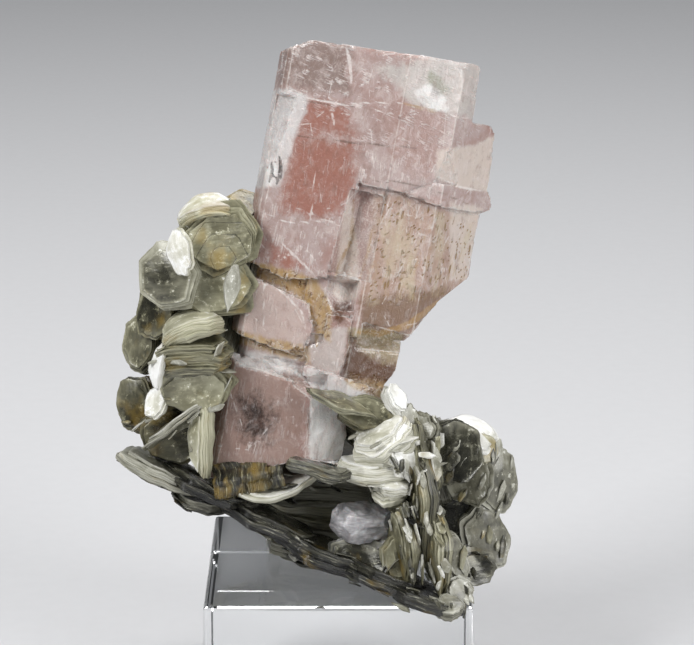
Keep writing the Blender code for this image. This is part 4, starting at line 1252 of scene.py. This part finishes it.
def growth_lines(finish, clouds):
    """Six-sided growth lines: 1 on a line and 0 off it."""
    growth = finish.attribute("growth")
    wave = finish.node("ShaderNodeMath", {"operation": "FRACT"}, {0: growth * 0.6 + clouds * 0.2})
    return finish.between((wave - 0.5).size(), 0.43, 0.49) * finish.between(growth, 0.5, 1.0)


def sheet_colour(finish, shade):
    """Black to white by the shade, olive on the books with gold, and their ochre stains."""
    colour = finish.node("ShaderNodeValToRGB", {"stops": [
        (0.0, tone(18, 18, 16)), (0.2, tone(62, 61, 50)), (0.42, tone(122, 120, 104)),
        (0.66, tone(180, 179, 165)), (0.88, tone(230, 229, 222)), (1.0, tone(250, 250, 247))]},
        {"Fac": shade})
    gold = finish.attribute("gold")
    warm = finish.between(gold, 0.0, 0.12) * finish.between(shade, 1.0, 0.7)
    colour = finish.node("ShaderNodeMix", {"data_type": "RGBA", "blend_type": "MULTIPLY"},
                         {0: warm, 6: colour, 7: (1.0, 0.98, 0.82, 1.0)}, 2)
    stain = finish.between(finish.grain((0.22, 0.22, 0.5), detail=4.0) + gold * 0.3, 0.58, 0.80)
    return finish.blend(stain * 0.55, colour, tone(152, 126, 56))


def muscovite_finish():
    finish = Finish("muscovite", IOR=1.58, Coat_Weight=0.3, Coat_Roughness=0.2)
    edge = finish.attribute("edge")
    tones = finish.attribute("tone")
    face = 1 - edge
    fine = finish.grain((0.4, 0.4, 10.0), detail=3.0, roughness=0.7) - 0.5
    bold = finish.grain((0.15, 0.15, 2.4), detail=4.0) - 0.5
    streaks = finish.grain((0.25, 1.5, 0.8), detail=5.0, roughness=0.65) - 0.5
    clouds = finish.grain((0.30, 0.30, 0.2), detail=5.0, distortion=0.8) - 0.5
    frost = finish.between(finish.grain((0.8, 0.8, 0.5), detail=6.0, roughness=0.75), 0.50, 0.68)
    crackle = finish.threads((0.35, 0.6, 0.3), 0.04) * frost
    steps = growth_lines(finish, clouds)
    dark = finish.between(tones, 0.30, 0.15)
    lively = finish.between(tones, 0.62, 0.30) * 0.6 + 0.4
    glints = finish.between(fine, 0.08, 0.16) * dark
    on_edges = (fine * 0.9 + bold * 0.7) * lively + glints * 0.32
    on_faces = streaks * 0.28 + clouds * 0.6 + frost * 0.16 + crackle * 0.4 - steps * 0.16
    finish.feed("Base Color", sheet_colour(finish, tones + edge * on_edges + face * on_faces))
    finish.feed("Roughness", clouds * 0.3 + edge * 0.06 + frost * 0.15 - dark * 0.1 + 0.34)
    finish.feed("Metallic", face * dark * 0.4)
    wrinkles = finish.grain((0.6, 2.0, 1.0), detail=5.0)
    pearl = finish.grain((0.35, 0.35, 0.2), detail=2.0)
    finish.relief((fine + bold) * edge * 0.5 + face * (wrinkles * 0.4 + pearl - steps * 0.15), 0.22)
    return finish


def make_muscovite():
    finish = muscovite_finish()
    trees = [solid_tree(node) for node in ("fluorapatite", "feldspar_grain")]
    groups = [("mica_upper_left", UPPER_LEFT), ("mica_middle_left", MIDDLE_LEFT),
              ("mica_mouth", MOUTH), ("mica_foot", FOOT), ("mica_middle_right", MIDDLE_RIGHT),
              ("mica_fan", FAN), ("mica_rosette", ROSETTE), ("mica_back", back_books()),
              ("mica_splinters", splinters())]
    first = 0
    for name, books in groups:
        make_books(name, books, first, finish, trees)
        first += len(books)


# Feldspar grain

def break_grain(vert, middle):
    """Moves a point of the grain to its flat breaks, and layers and roughens it."""
    point = vert.co.copy()
    for facing, reach in GRAIN_FACETS:
        facing = Vector(facing).normalized()
        over = (vert.co - middle).dot(facing) - reach
        vert.co -= facing * max(0.0, 0.85 * over)
    ledges = math.sin(point.z * 7.0 + 5.0 * noise.noise(point * 0.5))
    upward = max(0.0, vert.normal.z)
    depth = 0.20 * noise.fractal(point * 0.9, 0.9, 2.0, 5) + 0.10 * upward * ledges
    vert.co += vert.normal * (depth - 0.1)


def make_grain():
    """The rough grain in the hollow: smooth and rounded below, layered on top."""
    bm = bmesh.new()
    bm.from_mesh(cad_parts["feldspar_grain"].data)
    bm.transform(Matrix.Scale(1 / MM, 4))
    bmesh.ops.remove_doubles(bm, verts=bm.verts, dist=0.01)
    bmesh.ops.triangulate(bm, faces=bm.faces)
    for _ in range(GRAIN_SPLITS):
        bmesh.ops.subdivide_edges(bm, edges=bm.edges, cuts=1, use_grid_fill=True, smooth=0.25)
    bm.normal_update()
    places = np.array([vert.co for vert in bm.verts])
    middle = Vector(places.mean(axis=0))
    for vert in bm.verts:
        break_grain(vert, middle)
    bm.transform(Matrix.Scale(MM, 4))
    mesh = bpy.data.meshes.new("feldspar_lump")
    bm.to_mesh(mesh)
    bm.free()
    mesh.shade_smooth()
    paint(mesh, "place", places)
    add_piece("feldspar_lump", mesh, feldspar_finish(), "feldspar_grain")


def feldspar_finish():
    finish = Finish("feldspar", IOR=1.53, Subsurface_Weight=0.1, Subsurface_Scale=0.001)
    layers = finish.grain((0.5, 0.5, 4.0), detail=4.0)
    clouds = finish.grain((0.5, 0.5, 0.5), detail=5.0)
    colour = finish.node("ShaderNodeValToRGB", {"stops": [
        (0.30, tone(112, 111, 113)), (0.5, tone(170, 168, 170)), (0.68, tone(228, 226, 227))]},
        {"Fac": clouds * 0.75 + layers * 0.25})
    finish.feed("Base Color", colour)
    finish.feed("Roughness", clouds * 0.4 + 0.25)
    finish.relief(layers + clouds, 0.3)
    return finish


# Clear block

def acrylic_finish():
    """Clear acrylic, polished, with a faint haze of fine scratches."""
    finish = Finish("clear acrylic", IOR=1.49, Transmission_Weight=1.0)
    finish.shader.inputs["Base Color"].default_value = (0.97, 0.98, 0.985, 1.0)
    where = finish.node("ShaderNodeTexCoord", {}, {}, "Generated")
    haze = finish.node("ShaderNodeTexNoise", {}, {"Vector": where, "Scale": 6.0, "Detail": 6.0})
    finish.feed("Roughness", finish.between(haze, 0.45, 0.8) * 0.05 + 0.01)
    return finish


def make_block():
    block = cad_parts["clear_block"]
    block.data.materials.clear()
    block.data.materials.append(acrylic_finish().material)


# Studio and camera

# Half the floor's side, and the camera's place, in metres
FLOOR_HALF = 3.0
CAMERA_PLACE = (0.00127, -0.3878, 0.1676)

# The camera looks this many degrees down. Its focal length and the width of the photo are
# in the photo's pixels, and its sensor's width is in millimetres
CAMERA_DOWN = 16.0
FOCAL_LENGTH = 2800.0
PHOTO_WIDTH = 694.0
SENSOR = 36.0


def add_light(name, place, aim, size, power):
    light = bpy.data.lights.new(name, "AREA")
    light.shape = "RECTANGLE"
    light.size, light.size_y = size
    light.energy = power
    lamp = bpy.data.objects.new(name, light)
    lamp.location = place
    lamp.rotation_euler = (Vector(aim) - Vector(place)).to_track_quat("-Z", "Y").to_euler()
    bpy.context.scene.collection.objects.link(lamp)


def light_studio():
    """A pale sky and three soft lights, from the left, from the right and from above."""
    world = bpy.data.worlds.new("studio")
    world.use_nodes = True
    sky = world.node_tree.nodes["Background"]
    sky.inputs["Color"].default_value = (0.80, 0.82, 0.85, 1.0)
    sky.inputs["Strength"].default_value = 0.27
    bpy.context.scene.world = world
    middle = (0.0, 0.0, 0.05)
    add_light("key", (-0.45, -0.35, 0.55), middle, (0.30, 0.30), 4.0)
    add_light("fill", (0.50, -0.40, 0.30), middle, (0.30, 0.40), 2.8)
    add_light("top", (0.05, 0.15, 0.65), middle, (0.40, 0.25), 2.4)


def lay_floor():
    mesh = bpy.data.meshes.new("floor")
    sides = ((-1, -1), (1, -1), (1, 1), (-1, 1))
    corners = [(x * FLOOR_HALF, y * FLOOR_HALF, -FLOOR_GAP * MM) for x, y in sides]
    mesh.from_pydata(corners, [], [(0, 1, 2, 3)])
    floor = bpy.data.objects.new("floor", mesh)
    bpy.context.scene.collection.objects.link(floor)
    paper = Finish("pale paper", Roughness=0.7)
    where = paper.node("ShaderNodeTexCoord", {}, {}, "Object")
    fibre = paper.node("ShaderNodeTexNoise", {}, {"Vector": where, "Scale": 400.0, "Detail": 3.0})
    paper.feed("Base Color", paper.blend(fibre, (0.60, 0.60, 0.61), (0.63, 0.63, 0.64)))
    mesh.materials.append(paper.material)


def make_camera():
    """The photograph's view: 16 degrees down, from the front, through a long lens."""
    camera = bpy.data.cameras.new("camera")
    camera.sensor_width = SENSOR
    camera.lens = SENSOR * FOCAL_LENGTH / PHOTO_WIDTH
    camera.clip_start = 0.01
    holder = bpy.data.objects.new("camera", camera)
    holder.location = CAMERA_PLACE
    holder.rotation_euler = (math.radians(90 - CAMERA_DOWN), 0.0, 0.0)
    bpy.context.scene.collection.objects.link(holder)
    bpy.context.scene.camera = holder
    bpy.context.scene.view_settings.view_transform = "Standard"


make_crystal()
make_muscovite()
make_grain()
make_block()
light_studio()
lay_floor()
make_camera()
